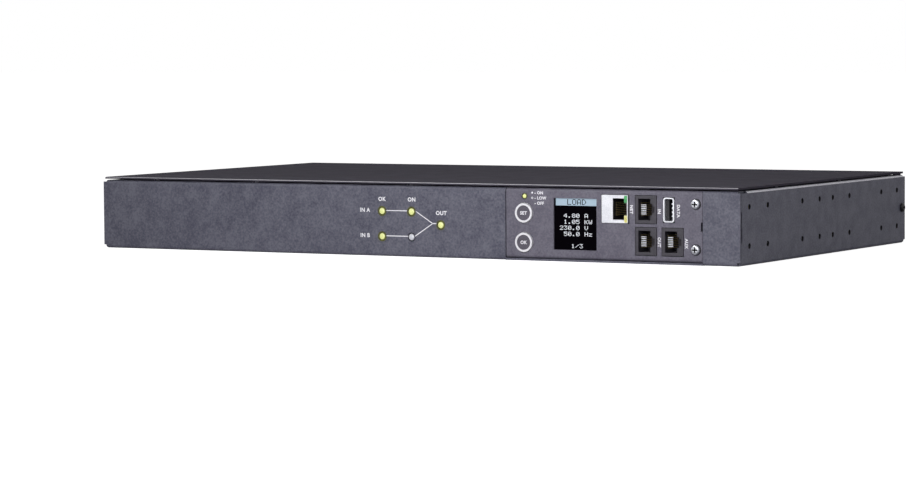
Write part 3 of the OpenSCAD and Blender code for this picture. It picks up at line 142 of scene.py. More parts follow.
def bandFinish(name, look):
    # parallel bands along one axis, with a shadow between them, over a fine grain
    material, tree, shader, place = startMaterial(name, look)
    bands = addNode(tree, "ShaderNodeTexWave",
                    {"bands_direction": look["axis"], "Scale": math.pi / 10 / (look["bandMm"] * mm),
                     "Distortion": look.get("wobble", 0.0), "Detail": 1.0}, {"Vector": place})
    tone = twoTones(tree, bands.outputs["Fac"], look.get("edge", 0.12), look["dark"], 0.5, look["light"])
    tree.links.new(tone, shader.inputs["Base Color"])
    roughnessFrom(tree, shader, noiseOf(tree, place, look["grainMm"], 2.0), look)
    reliefFrom(tree, shader, bands.outputs["Fac"], look)
    return material


def boardFinish(name, look):
    # solder mask over copper tracks: paler lines on a grid of cells, with tinned dots
    material, tree, shader, place = startMaterial(name, look)
    cells = addNode(tree, "ShaderNodeTexVoronoi",
                    {"feature": "DISTANCE_TO_EDGE", "Scale": 1 / (look["cellMm"] * mm), "Randomness": 0.55},
                    {"Vector": place})
    tracks = twoTones(tree, cells.outputs["Distance"], 0.05, look["light"], 0.08, look["dark"])
    dots = addNode(tree, "ShaderNodeTexVoronoi", {"Scale": 1 / (look["dotMm"] * mm), "Randomness": 0.3},
                   {"Vector": place})
    tinned = addNode(tree, "ShaderNodeMapRange", {"From Min": 0.17, "From Max": 0.14},
                     {"Value": dots.outputs["Distance"]})
    blend = addNode(tree, "ShaderNodeMix", {"data_type": "RGBA", "B": toLinear(look["tin"])},
                    {"Factor": tinned.outputs["Result"], "A": tracks})
    tree.links.new(socketOf(blend.outputs, "Result"), shader.inputs["Base Color"])
    reliefFrom(tree, shader, tinned.outputs["Result"], look)
    return material


trayCoat = grainFinish("powder_coated_steel_tray", {  # fine textured powder coat: satin, softly speckled
    "colour": "#5d5d6b", "dark": "#4f4f5e", "light": "#6c6c79", "grainMm": 1.1, "blotchMm": 9.0,
    "roughness": 0.52, "roughSpread": 0.07, "specular": 0.3, "relief": 0.35, "reliefMm": 0.08})
lidPaintedShadeCoat = grainFinish("powder_coat_lid_painted_shade", {  # the same coat on the lid, duller, and darker as painted shade on the top
    "colour": "#46434c", "dark": "#403d47", "light": "#4c4953", "grainMm": 0.9, "blotchMm": 14.0,
    "roughness": 0.85, "roughSpread": 0.05, "specular": 0.02, "relief": 0.2, "reliefMm": 0.05})
paintedCoverBendHighlight = grainFinish("cover_bend_painted_highlight", {  # painted highlight: a lighter colour on the cover's bends, for the light they catch, kept dim as the bend is half in its own shade
    "colour": "#6a6874", "dark": "#5f5d69", "light": "#787683", "grainMm": 0.8, "blotchMm": 12.0,
    "roughness": 0.45, "roughSpread": 0.05, "specular": 0.4, "relief": 0.1, "reliefMm": 0.03})
paintedTrayBendHighlight = grainFinish("tray_bend_painted_highlight", {  # painted highlight: a near-white colour on the outer bends along the tops of the side walls, for the light they catch; glossier there too
    "colour": "#cfced9", "dark": "#bcbbc8", "light": "#e2e1ea", "grainMm": 0.8, "blotchMm": 12.0,
    "roughness": 0.32, "roughSpread": 0.05, "specular": 0.6, "relief": 0.1, "reliefMm": 0.03})
moduleCoat = grainFinish("powder_coated_steel_module", {  # smoother powder coat on the module's face
    "colour": "#65626f", "dark": "#5b5866", "light": "#706d7a", "grainMm": 1.0, "blotchMm": 11.0,
    "roughness": 0.5, "roughSpread": 0.06, "specular": 0.3, "relief": 0.18, "reliefMm": 0.05})
blackOxide = grainFinish("black_oxide_steel", {  # blackened screw: nearly black with an oily gleam
    "colour": "#1c1b20", "dark": "#151418", "light": "#25242a", "grainMm": 0.3, "blotchMm": 2.0,
    "metallic": 0.6, "roughness": 0.38, "roughSpread": 0.08, "relief": 0.1, "reliefMm": 0.02})
zincPlate = grainFinish("zinc_plated_steel", {  # bright zinc: cool grey-white with small cloudy patches
    "colour": "#c6c8cf", "dark": "#b2b4bd", "light": "#dadce2", "grainMm": 0.35, "blotchMm": 1.8,
    "metallic": 1.0, "roughness": 0.3, "roughSpread": 0.08, "relief": 0.1, "reliefMm": 0.02})
nickelPlate = grainFinish("nickel_plated_steel", {  # satin nickel on the socket shells: warm white, soft gleam
    "colour": "#e6e7ef", "dark": "#dadbe4", "light": "#f0f1f7", "grainMm": 0.5, "blotchMm": 5.0,
    "metallic": 0.35, "roughness": 0.36, "roughSpread": 0.05, "relief": 0.06, "reliefMm": 0.02})
goldPlate = grainFinish("gold_plated_bronze", {  # thin gold on spring bronze: pale, silky yellow
    "colour": "#d9c48c", "dark": "#cdb678", "light": "#e6d6a4", "grainMm": 0.2, "blotchMm": 1.2,
    "metallic": 0.9, "roughness": 0.3, "roughSpread": 0.06, "relief": 0.05, "reliefMm": 0.01})
brassRolled = grainFinish("rolled_brass", {  # rolled and stamped brass: drawn streaks, warm yellow
    "colour": "#c2a45c", "dark": "#b5964e", "light": "#d1b46d", "grainMm": 0.4, "blotchMm": 3.0,
    "stretch": (1, 0.12, 1), "metallic": 1.0, "roughness": 0.34, "roughSpread": 0.08,
    "relief": 0.12, "reliefMm": 0.02})
nylonBlack = grainFinish("moulded_black_nylon", {  # glass-filled nylon: dull black with a dry grain
    "colour": "#1b1a1e", "dark": "#161519", "light": "#222126", "grainMm": 0.35, "blotchMm": 4.0,
    "roughness": 0.5, "roughSpread": 0.08, "specular": 0.4, "relief": 0.2, "reliefMm": 0.03})
jackPlastic = grainFinish("moulded_grey_polycarbonate", {  # jack housings: charcoal, a little glossy
    "colour": "#3a3840", "dark": "#343239", "light": "#423f48", "grainMm": 0.4, "blotchMm": 4.0,
    "roughness": 0.42, "roughSpread": 0.06, "specular": 0.4, "relief": 0.12, "reliefMm": 0.02})
socketPlastic = grainFinish("moulded_socket_nylon", {  # rear sockets: deep black, spark-eroded texture
    "colour": "#212024", "dark": "#1a191d", "light": "#29282d", "grainMm": 0.5, "blotchMm": 8.0,
    "roughness": 0.55, "roughSpread": 0.08, "specular": 0.4, "relief": 0.3, "reliefMm": 0.05})
buttonWhite = grainFinish("moulded_white_silicone", {  # silicone ring: soft white, no hard gleam
    "colour": "#eceaf0", "dark": "#e3e1e8", "light": "#f4f3f8", "grainMm": 0.4, "blotchMm": 3.0,
    "roughness": 0.5, "roughSpread": 0.05, "relief": 0.08, "reliefMm": 0.02})
buttonGrey = grainFinish("moulded_grey_silicone", {  # the button's centre, in the colour of the face
    "colour": "#58545f", "dark": "#534f5a", "light": "#5e5a65", "grainMm": 0.4, "blotchMm": 3.0,
    "roughness": 0.55, "roughSpread": 0.05, "specular": 0.35, "relief": 0.1, "reliefMm": 0.02})
ivoryPlastic = grainFinish("moulded_ivory_abs", {  # display frame: warm off-white, slightly glossy
    "colour": "#d8d6cd", "dark": "#cfcdc3", "light": "#e0ded6", "grainMm": 0.4, "blotchMm": 5.0,
    "roughness": 0.45, "roughSpread": 0.05, "relief": 0.08, "reliefMm": 0.02})
resetWhite = grainFinish("moulded_white_abs", {  # breaker button: clean white, faint moulding grain
    "colour": "#e6e5e2", "dark": "#dddcd8", "light": "#eeedea", "grainMm": 0.3, "blotchMm": 3.0,
    "roughness": 0.4, "roughSpread": 0.05, "relief": 0.06, "reliefMm": 0.02})
bluePlastic = grainFinish("moulded_blue_polyester", {  # sensor bobbins: flat blue with a dull skin
    "colour": "#2e4a86", "dark": "#28427a", "light": "#365493", "grainMm": 0.5, "blotchMm": 5.0,
    "roughness": 0.45, "roughSpread": 0.06, "relief": 0.12, "reliefMm": 0.03})
capacitorSleeve = grainFinish("shrunk_pvc_sleeve", {  # shrink sleeve: dark blue, smooth and shiny
    "colour": "#232c52", "dark": "#1e2649", "light": "#2a345e", "grainMm": 0.8, "blotchMm": 6.0,
    "roughness": 0.28, "roughSpread": 0.05, "relief": 0.06, "reliefMm": 0.03})
filmYellow = grainFinish("dipped_yellow_epoxy", {  # film capacitors: box-moulded, butter yellow
    "colour": "#d8b33c", "dark": "#cda731", "light": "#e2bf4c", "grainMm": 0.6, "blotchMm": 6.0,
    "roughness": 0.4, "roughSpread": 0.06, "relief": 0.1, "reliefMm": 0.03})
insulatingFilm = grainFinish("calendered_polyester_film", {  # milky film under the boards, faintly streaked
    "colour": "#dfe0da", "dark": "#d6d7d0", "light": "#e8e9e4", "grainMm": 0.8, "blotchMm": 20.0,
    "stretch": (0.2, 1, 1), "roughness": 0.32, "roughSpread": 0.06, "relief": 0.05, "reliefMm": 0.02})
wireRed = grainFinish("extruded_red_pvc", {  # wire covering: waxy red
    "colour": "#9b2c26", "dark": "#8e251f", "light": "#a93630", "grainMm": 0.5, "blotchMm": 6.0,
    "roughness": 0.38, "roughSpread": 0.05, "relief": 0.06, "reliefMm": 0.02})
wireBlue = grainFinish("extruded_blue_pvc", {  # wire covering: waxy dark blue
    "colour": "#263a5c", "dark": "#203252", "light": "#2e4468", "grainMm": 0.5, "blotchMm": 6.0,
    "roughness": 0.38, "roughSpread": 0.05, "relief": 0.06, "reliefMm": 0.02})
extrudedAluminium = bandFinish("extruded_aluminium", {  # die lines run the length of the fins
    "colour": "#b4b6bb", "dark": "#a3a5ab", "light": "#c2c4c9", "axis": "X", "bandMm": 0.45, "wobble": 1.5,
    "grainMm": 0.4, "metallic": 1.0, "roughness": 0.36, "roughSpread": 0.07, "relief": 0.15, "reliefMm": 0.02})
copperWinding = bandFinish("enamelled_copper_winding", {  # turns of lacquered wire side by side
    "colour": "#a4582c", "dark": "#4c2413", "light": "#c0703c", "axis": "X", "bandMm": 1.1, "edge": 0.25,
    "grainMm": 0.5, "metallic": 0.7, "roughness": 0.3, "roughSpread": 0.05, "relief": 0.6, "reliefMm": 0.3})
laminatedSteel = bandFinish("laminated_core_steel", {  # stacked stampings: dark edges every half millimetre
    "colour": "#45464b", "dark": "#2a2a2e", "light": "#595a60", "axis": "Y", "bandMm": 0.5, "edge": 0.3,
    "grainMm": 0.4, "metallic": 0.6, "roughness": 0.45, "roughSpread": 0.06, "relief": 0.4, "reliefMm": 0.08})
ribbonPvc = bandFinish("flat_ribbon_pvc", {  # ribbed grey ribbon, one rib to each conductor
    "colour": "#92949b", "dark": "#6f7178", "light": "#a5a7ae", "axis": "X", "bandMm": 1.27, "edge": 0.2,
    "grainMm": 0.6, "roughness": 0.45, "roughSpread": 0.05, "relief": 0.6, "reliefMm": 0.25})
maskedBoard = boardFinish("solder_masked_glass_epoxy", {  # green mask: paler over copper, tinned dots
    "colour": "#1d5338", "dark": "#184a31", "light": "#2f7350", "tin": "#b9bbb8", "cellMm": 5.0, "dotMm": 2.4,
    "roughness": 0.32, "relief": 0.4, "reliefMm": 0.05})


def printedInk():
    # screen-printed white ink: thin, matt, with small pinholes that show the coat under it
    material, tree, shader, place = startMaterial("screen_printed_ink", {"colour": "#e9e8ee", "roughness": 0.6})
    cover = twoTones(tree, noiseOf(tree, place, 0.25, 2.0), 0.22, "#a9a7b1", 0.34, "#efeef4")
    tree.links.new(cover, shader.inputs["Base Color"])
    return material


def panelGlass():
    # display glass: black behind a clear front, with faint rubbing marks in the gloss
    material, tree, shader, place = startMaterial("blackened_display_glass", {
        "colour": "#040206", "roughness": 0.12, "specular": 0.015})
    rubbing = noiseOf(tree, place, 2.5, 4.0)
    rough = addNode(tree, "ShaderNodeMapRange",
                    {"From Min": 0.35, "From Max": 0.75, "To Min": 0.1, "To Max": 0.24}, {"Value": rubbing})
    tree.links.new(rough.outputs["Result"], shader.inputs["Roughness"])
    tint = addNode(tree, "ShaderNodeMix",
                   {"data_type": "RGBA", "A": toLinear("#030104"), "B": toLinear("#060408")},
                   {"Factor": rubbing})
    tree.links.new(socketOf(tint.outputs, "Result"), shader.inputs["Base Color"])
    return material


def litCell(name, colour, strength):
    # a cell of the display: self-lit, with the faint unevenness of the backlight
    material, tree, shader, place = startMaterial(name, {"colour": colour, "roughness": 0.4})
    dimmest = 0.82
    dimmer = tuple(dimmest * c for c in toLinear(colour)[:3]) + (1,)
    glow = addNode(tree, "ShaderNodeMix", {"data_type": "RGBA", "A": toLinear(colour), "B": dimmer},
                   {"Factor": noiseOf(tree, place, 6, 0.0)})
    tree.links.new(socketOf(glow.outputs, "Result"), shader.inputs["Emission Color"])
    shader.inputs["Emission Strength"].default_value = strength
    return material


def epoxyLens(name, look):
    # cast epoxy lens: clear edge, milky core; the attribute "core" is 1 on the crown and 0 at the rim
    material, tree, shader, place = startMaterial(name, look)
    cloudShare = 0.3
    core = addNode(tree, "ShaderNodeAttribute", {"attribute_name": "core"})
    milky = addNode(tree, "ShaderNodeMath", {"operation": "MULTIPLY_ADD", 1: cloudShare},
                    {0: noiseOf(tree, place, 0.9, 1.0), 2: core.outputs["Fac"]})
    body = twoTones(tree, milky.outputs["Value"], look["rimEnd"], look["rim"], look["coreStart"],
                    look["colour"])
    tree.links.new(body, shader.inputs["Base Color"])
    tree.links.new(body, shader.inputs["Emission Color"])
    shader.inputs["Emission Strength"].default_value = look["glow"]
    return material


whiteInk = printedInk()
displayGlass = panelGlass()
cellWhite = litCell("lit_white_pixel", "#dfe3ea", 0.3)
cellBlue = litCell("lit_blue_bar", "#9fb4c4", 0.2)
litLens = epoxyLens("cast_epoxy_lens_lit", {  # pale yellow-green core in a dark olive edge
    "colour": "#dfe497", "rim": "#5d6030", "rimEnd": 0.45, "coreStart": 0.95, "roughness": 0.18, "glow": 0.22})
darkLens = epoxyLens("cast_epoxy_lens_unlit", {  # the same casting, water-white and out, with a faint painted glow
    "colour": "#d9dae2", "rim": "#54535e", "rimEnd": 0.5, "coreStart": 1.0, "roughness": 0.15, "glow": 0.02})
paintedLampSpill = grainFinish("painted_lamp_spill_ring", {  # painted light and shade on the coat round a lit lamp: olive for its spill, dark for the gap round the lens
    "colour": "#55562f", "dark": "#4a4b2b", "light": "#63643a", "grainMm": 0.8, "blotchMm": 2.0,
    "roughness": 0.5, "roughSpread": 0.05, "specular": 0.3, "relief": 0.15, "reliefMm": 0.04})
greenLens = grainFinish("moulded_green_light_pipe", {  # light pipe beside the jack: deep clear green
    "colour": "#3f9a58", "dark": "#35894c", "light": "#56b670", "grainMm": 0.5, "blotchMm": 2.5,
    "roughness": 0.3, "roughSpread": 0.05, "relief": 0.05, "reliefMm": 0.02})
yellowLens = grainFinish("moulded_yellow_light_pipe", {  # light pipe beside the jack: pale straw yellow
    "colour": "#dcd680", "dark": "#cfc86d", "light": "#ebe6a0", "grainMm": 0.5, "blotchMm": 2.5,
    "roughness": 0.3, "roughSpread": 0.05, "relief": 0.05, "reliefMm": 0.02})
print("finishes ready")


def addPiece(name, mesh, material, body="unit"):
    piece = bpy.data.objects.new(name, mesh)
    scene.collection.objects.link(piece)
    if material:
        mesh.materials.clear()
        mesh.materials.append(material)
    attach(piece, body)
    return piece


def evaluatedMesh(piece):
    # the plain mesh that an object's modifiers give; the object itself is removed
    bpy.context.view_layer.update()
    graph = bpy.context.evaluated_depsgraph_get()
    mesh = bpy.data.meshes.new_from_object(piece.evaluated_get(graph), preserve_all_data_layers=True,
                                           depsgraph=graph)
    bpy.data.objects.remove(piece)
    return mesh


softening = {"weldMm": 0.002, "flatDegrees": 0.6, "bevelDegrees": 40, "segments": 2, "sharpDegrees": 60,
             "areaWeight": 100}


def softenedCopy(name, node, widthMm, material, body="unit", bend=None):
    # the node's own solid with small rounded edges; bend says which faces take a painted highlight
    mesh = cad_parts[node].data.copy()
    shape = bmesh.new()
    shape.from_mesh(mesh)
    bmesh.ops.remove_doubles(shape, verts=shape.verts, dist=softening["weldMm"] * mm)
    bmesh.ops.dissolve_limit(shape, angle_limit=math.radians(softening["flatDegrees"]), verts=shape.verts,
                             edges=shape.edges)
    shape.to_mesh(mesh)
    shape.free()
    mesh.materials.clear()
    mesh.materials.append(material)
    rough = bpy.data.objects.new(name + "_rough", mesh)
    scene.collection.objects.link(rough)
    rounding = rough.modifiers.new("rounding", "BEVEL")
    rounding.width = widthMm * mm
    rounding.segments = softening["segments"]
    rounding.limit_method = "ANGLE"
    rounding.angle_limit = math.radians(softening["bevelDegrees"])
    rounding.use_clamp_overlap = True
    mesh.polygons.foreach_set("use_smooth", [True] * len(mesh.polygons))
    mesh.set_sharp_from_angle(angle=math.radians(softening["sharpDegrees"]))
    weighting = rough.modifiers.new("flat_panels", "WEIGHTED_NORMAL")
    weighting.weight = softening["areaWeight"]
    weighting.keep_sharp = True
    made = evaluatedMesh(rough)
    made.materials.clear()
    made.materials.append(material)
    # faces chosen by bend take the painted highlight colour
    if bend:
        made.materials.append(bend["coat"])
        for face in made.polygons:
            face.material_index = int(bend["low"] < face.normal.z < bend["high"]
                                      and abs(face.normal.x) >= bend["side"] and face.center.z > bend["above"])
    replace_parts(addPiece(name, made, None, body), node)


def finishNode(node, material):
    # a carried-over solid keeps its shape and takes a finish
    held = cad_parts[node]
    if not held.material_slots:
        held.data.materials.append(material)
    for place in held.material_slots:
        place.material = material


trayLow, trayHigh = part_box("chassis_tray")
# the outer half of the bends along the tops of the sides, and the cover's bends, which take a painted highlight
trayHighlightFaces = {"low": 0.4, "high": 0.93, "side": 0.35, "above": trayHigh.z - 2.2 * mm, "coat": paintedTrayBendHighlight}
coverHighlightFaces = {"low": 0.55, "high": 0.9, "side": 0.0, "above": 0.0, "coat": paintedCoverBendHighlight}
softenedCopy("tray_shell", "chassis_tray", 0.12, trayCoat, bend=trayHighlightFaces)
softenedCopy("cover_shell", "top_cover", 0.3, lidPaintedShadeCoat, bend=coverHighlightFaces)
softenedCopy("module_panel", "module_plate", 0.12, moduleCoat)
for side in ("select", "enter"):
    body = side + "_button"
    softenedCopy(side + "_button_ring", body, 0.2, buttonWhite, body)
    softenedCopy(side + "_button_face", side + "_inlay", 0.06, buttonGrey, body)
for node in ("inlet_a", "inlet_b", "outlet_bank_1", "outlet_bank_2", "outlet_c19", "breaker_1", "breaker_2"):
    softenedCopy(node + "_housing", node, 0.25, socketPlastic)
jacks = ("input_jack", "output_jack", "sensor_jack")
for node in jacks:
    softenedCopy(node + "_housing", node, 0.15, jackPlastic)
softenedCopy("lan_jack_shell", "lan_shield", 0.12, nickelPlate)
softenedCopy("usb_socket_shell", "usb_shell", 0.1, nickelPlate)
print("softened shells ready")

for nodes, material in (
        (("cover_screws",), blackOxide),
        (("module_screws", "earth_stud", "board_screws"), zincPlate),
        (("indicator_board", "module_board", "power_board", "logic_board"), maskedBoard),
        (("tact_switches", "lan_insert", "usb_tongue", "module_connector", "processor", "thyristors",
          "backfeed_relays"), nylonBlack),
        (("link_led",), greenLens), (("activity_led",), yellowLens),
        (("jack_contacts",), goldPlate), (("inlet_blades", "outlet_contacts", "standoffs"), brassRolled),
        (("lcd_pane",), displayGlass), (("lcd_module",), ivoryPlastic),
        (("breaker_reset_1", "breaker_reset_2"), resetWhite),
        (("heatsink",), extrudedAluminium), (("current_sensors",), bluePlastic), (("chokes",), copperWinding),
        (("filter_capacitors",), filmYellow), (("supply_transformers",), laminatedSteel),
        (("supply_capacitors",), capacitorSleeve), (("input_wires",), wireRed), (("output_wires",), wireBlue),
        (("ribbon_cable",), ribbonPvc), (("insulating_sheet",), insulatingFilm)):
    for node in nodes:
        finishNode(node, material)


lampLook = {"segments": 40, "rings": 14, "domeShare": 0.55, "coreShare": 0.62, "flangeThick": 1.2 * mm,
            "flangeWide": 0.35 * mm, "sharpDegrees": 50}


def lampLens(node, name, material):
    # a dome on a short barrel, turned about Y, with the flange behind the panel
    low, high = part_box(node)
    centre = (low + high) / 2
    flangeRadius = (high.x - low.x) / 2
    flangeY = high.y - lampLook["flangeThick"]
    radius = flangeRadius - lampLook["flangeWide"]
    dome = radius * lampLook["domeShare"]
    angles = [math.pi / 2 * k / lampLook["rings"] for k in range(lampLook["rings"] + 1)]
    outline = [(radius * math.sin(a), low.y + dome * (1 - math.cos(a))) for a in angles]
    outline += [(radius, flangeY), (flangeRadius, flangeY), (flangeRadius, high.y), (0, high.y)]
    shape = bmesh.new()
    core = shape.verts.layers.float.new("core")
    loops = []
    for reach, depth in outline:
        count = 1 if reach == 0 else lampLook["segments"]
        loop = [shape.verts.new((centre.x + reach * math.cos(math.tau * k / count), depth,
                                 centre.z + reach * math.sin(math.tau * k / count))) for k in range(count)]
        for vert in loop:
            vert[core] = 1 - max(0, reach / radius - lampLook["coreShare"]) / (1 - lampLook["coreShare"])
        loops.append(loop)
    for inner, outer in zip(loops, loops[1:]):
        for k in range(lampLook["segments"]):
            corners = [inner[k % len(inner)], outer[k % len(outer)], outer[(k + 1) % len(outer)],
                       inner[(k + 1) % len(inner)]]
            shape.faces.new(list(dict.fromkeys(corners)))
    bmesh.ops.recalc_face_normals(shape, faces=shape.faces)
    mesh = bpy.data.meshes.new(name)
    shape.to_mesh(mesh)
    shape.free()
    mesh.polygons.foreach_set("use_smooth", [True] * len(mesh.polygons))
    mesh.set_sharp_from_angle(angle=math.radians(lampLook["sharpDegrees"]))
    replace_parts(addPiece(name, mesh, material), node)


for node in ("input_a_led", "input_b_led", "selected_a_led", "output_led"):
    lampLens(node, node + "_lens", litLens)
lampLens("selected_b_led", "selected_b_led_lens", darkLens)
lampLens("health_led", "health_led_lens", litLens)
print("lamps ready")


def startFittings(name, sockets):
    # a tree that takes points, the named values and a finish
    tree = bpy.data.node_groups.new(name, "GeometryNodeTree")
    for label, kind in (("Points", "Geometry"), *sockets, ("finish", "Material")):
        tree.interface.new_socket(label, in_out="INPUT", socket_type="NodeSocket" + kind)
    tree.interface.new_socket("Mesh", in_out="OUTPUT", socket_type="NodeSocketGeometry")
    return tree, addNode(tree, "NodeGroupInput")


def endFittings(tree, given, fitting):
    # one copy of the fitting on every point, made real and given its finish
    placed = addNode(tree, "GeometryNodeInstanceOnPoints", {}, {
        "Points": (given, "Points"), "Instance": fitting})
    real = addNode(tree, "GeometryNodeRealizeInstances", {}, {"Geometry": (placed, "Instances")})
    finished = addNode(tree, "GeometryNodeSetMaterial", {}, {
        "Geometry": (real, "Geometry"), "Material": (given, "finish")})
    addNode(tree, "NodeGroupOutput", {}, {"Mesh": (finished, "Geometry")})
    return tree


def ringTree():
    # a ring of round wire on every point, for threads and painted shadow rings
    tree, given = startFittings("ringFittings", (
        ("ringRadius", "Float"), ("wireRadius", "Float"), ("turn", "Vector")))
    ring = addNode(tree, "GeometryNodeCurvePrimitiveCircle", {"Resolution": 28},
                   {"Radius": (given, "ringRadius")})
    wire = addNode(tree, "GeometryNodeCurvePrimitiveCircle", {"Resolution": 8},
                   {"Radius": (given, "wireRadius")})
    tube = addNode(tree, "GeometryNodeCurveToMesh", {}, {
        "Curve": (ring, "Curve"), "Profile Curve": (wire, "Curve")})
    turned = addNode(tree, "GeometryNodeTransform", {}, {
        "Geometry": (tube, "Mesh"), "Rotation": (given, "turn")})
    return endFittings(tree, given, (turned, "Geometry"))


def slabTree():
    # a slab on every point, or two of them crossed, for painted shade in recesses and slots, display cells and
    # contacts
    tree, given = startFittings("slabFittings", (
        ("slabWide", "Float"), ("slabTall", "Float"), ("slabDeep", "Float"), ("crossed", "Bool")))
    size = addNode(tree, "ShaderNodeCombineXYZ", {}, {
        "X": (given, "slabWide"), "Y": (given, "slabDeep"), "Z": (given, "slabTall")})
    slab = addNode(tree, "GeometryNodeMeshCube", {}, {"Size": (size, "Vector")})
    quarter = addNode(tree, "GeometryNodeTransform", {"Rotation": (0, math.pi / 2, 0)},
                      {"Geometry": (slab, "Mesh")})
    cross = addNode(tree, "GeometryNodeJoinGeometry")
    for part in (slab.outputs["Mesh"], quarter.outputs["Geometry"]):
        tree.links.new(part, cross.inputs[0])
    chosen = addNode(tree, "GeometryNodeSwitch", {"input_type": "GEOMETRY"}, {
        "Switch": (given, "crossed"), "False": (slab, "Mesh"), "True": (cross, "Geometry")})
    return endFittings(tree, given, (chosen, "Output"))


rings, slabs = ringTree(), slabTree()


def grownPiece(name, points, tree, values, material):
    # runs a tree over loose points and keeps its plain mesh as a piece
    cloud = bpy.data.meshes.new(name + "_points")
    cloud.from_pydata(points, [], [])
    holder = bpy.data.objects.new(name + "_points", cloud)
    scene.collection.objects.link(holder)
    modifier = holder.modifiers.new("tree", "NODES")
    modifier.node_group = tree
    for item in tree.interface.items_tree:
        if item.in_out == "INPUT" and item.name in values:
            modifier[item.identifier] = values[item.name]
        elif item.name == "finish":
            modifier[item.identifier] = material
    addPiece(name, evaluatedMesh(holder), material)


def slabPiece(name, points, wide, tall, deep, material, crossed=False):
    grownPiece(name, points, slabs, {"slabWide": wide, "slabTall": tall, "slabDeep": deep, "crossed": crossed},
               material)


# the side holes' threads: rings spaced through the sheet, columns and rows from the tray's front and floor;
# near-black as painted shade inside the holes
threads = {"radius": 1.66 * mm, "wire": 0.16 * mm, "turns": 4, "inset": 0.2 * mm, "pitch": 0.8 * mm / 3,
           "columns": (12.5, 37.5, 86.0, 111.0, 130.5, 155.5, 205.0, 230.0), "rows": (11.0, 33.0)}
points = [(side - math.copysign(threads["inset"] + k * threads["pitch"], side), trayLow.y + column * mm,
           row * mm)
          for side in (trayLow.x, trayHigh.x) for column in threads["columns"] for row in threads["rows"]
          for k in range(threads["turns"])]
grownPiece("ear_hole_threads_painted_shade", points, rings, {
    "ringRadius": threads["radius"], "wireRadius": threads["wire"], "turn": (0, math.pi / 2, 0)},
    blackOxide)

# painted shade: black crossed slabs where the module screws' cross recesses are, and black rings for the
# shadowed rims of their holes
recess = {"long": 3.5 * mm, "wide": 0.95 * mm, "deep": 0.5 * mm, "proud": 0.03 * mm}
rimShadow = {"out": 0.25 * mm, "wire": 0.3 * mm}
screwLow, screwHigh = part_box("module_screws")
headRadius = (screwHigh.x - screwLow.x) / 2
screwX = (screwLow.x + screwHigh.x) / 2
screwRows = (screwLow.z + headRadius, screwHigh.z - headRadius)
recessY = screwLow.y + recess["deep"] / 2 - recess["proud"]
slabPiece("screw_recess_painted_shade", [(screwX, recessY, z) for z in screwRows], recess["long"], recess["wide"],
          recess["deep"], nylonBlack, crossed=True)
grownPiece("screw_rim_painted_shadows", [(screwX, trayLow.y, z) for z in screwRows], rings, {
    "ringRadius": headRadius + rimShadow["out"], "wireRadius": rimShadow["wire"], "turn": (math.pi / 2, 0, 0)},
    nylonBlack)

# the USB socket's contacts, on the right face of its tongue
comb = {"count": 4, "pitch": 2.3 * mm, "wide": 0.5 * mm, "tall": 1.0 * mm, "deep": 2.0 * mm, "proud": 0.2 * mm}
tongueLow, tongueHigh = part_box("usb_tongue")
combX = tongueHigh.x + comb["wide"] / 2
combY = tongueLow.y + comb["deep"] / 2 - comb["proud"]
points = [(combX, combY, middle("usb_shell").z + (k - (comb["count"] - 1) / 2) * comb["pitch"])
          for k in range(comb["count"])]
slabPiece("usb_contacts", points, comb["wide"], comb["tall"], comb["deep"], nickelPlate)

# painted shade: black slabs in the side walls behind the corner slots, for the dark inside them
slot = {"tall": 17.5 * mm, "middleZ": 21.75 * mm, "backY": 3.75 * mm, "inset": 0.35 * mm, "wide": 0.3 * mm,
        "deep": 1.5 * mm}
points = [(side - math.copysign(slot["inset"], side), trayLow.y + slot["backY"], slot["middleZ"])
          for side in (trayLow.x, trayHigh.x)]
slabPiece("corner_slot_painted_shade", points, slot["wide"], slot["tall"], slot["deep"], nylonBlack)

# the bright tips of the modular jacks' contacts
tips = {"count": 6, "pitch": 1.02 * mm, "wide": 3.2 * mm, "tall": 0.4 * mm, "deep": 0.25 * mm,
        "left": 1.9 * mm, "in": 1.5 * mm}
points = []
for node in jacks:
    centre = middle(node)
    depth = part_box(node)[0].y + tips["in"]
    points += [(centre.x - tips["left"], depth, centre.z + (k - (tips["count"] - 1) / 2) * tips["pitch"])
               for k in range(tips["count"])]
slabPiece("jack_contact_tips", points, tips["wide"], tips["tall"], tips["deep"], nickelPlate)
print("fittings ready")

printDeep = 0.03 * mm
lettering = {"capShare": 0.7, "bold": 0.05, "spacing": 1.08, "curveSteps": 3}


def strokeMesh(shape, path, width, place):
    # one line of constant width along a path in the panel's own plane, as a thin closed slab
    points = [Vector(p) for p in path]
    left, right = [], []
    for k, point in enumerate(points):
        before = (point - points[k - 1]).normalized() if k else None
        after = (points[k + 1] - point).normalized() if k + 1 < len(points) else None
        along = ((before or after) + (after or before)).normalized()
        across = Vector((-along.y, along.x))
        reach = width / 2 / max(0.3, across.dot(Vector((-(before or after).y, (before or after).x))))
        left.append(point + across * reach)
        right.append(point - across * reach)
    rings = [[shape.verts.new(place @ Vector((p.x, p.y, height))) for p in left + right[::-1]]
             for height in (0, printDeep)]
    bottom, top = rings
    count = len(bottom)
    half = len(left)
    for k in range(half - 1):
        shape.faces.new([top[k + 1], top[k], top[count - 1 - k], top[count - 2 - k]])
        shape.faces.new([bottom[k], bottom[k + 1], bottom[count - 2 - k], bottom[count - 1 - k]])
    for k in range(count):
        shape.faces.new([bottom[(k + 1) % count], bottom[k], top[k], top[(k + 1) % count]])


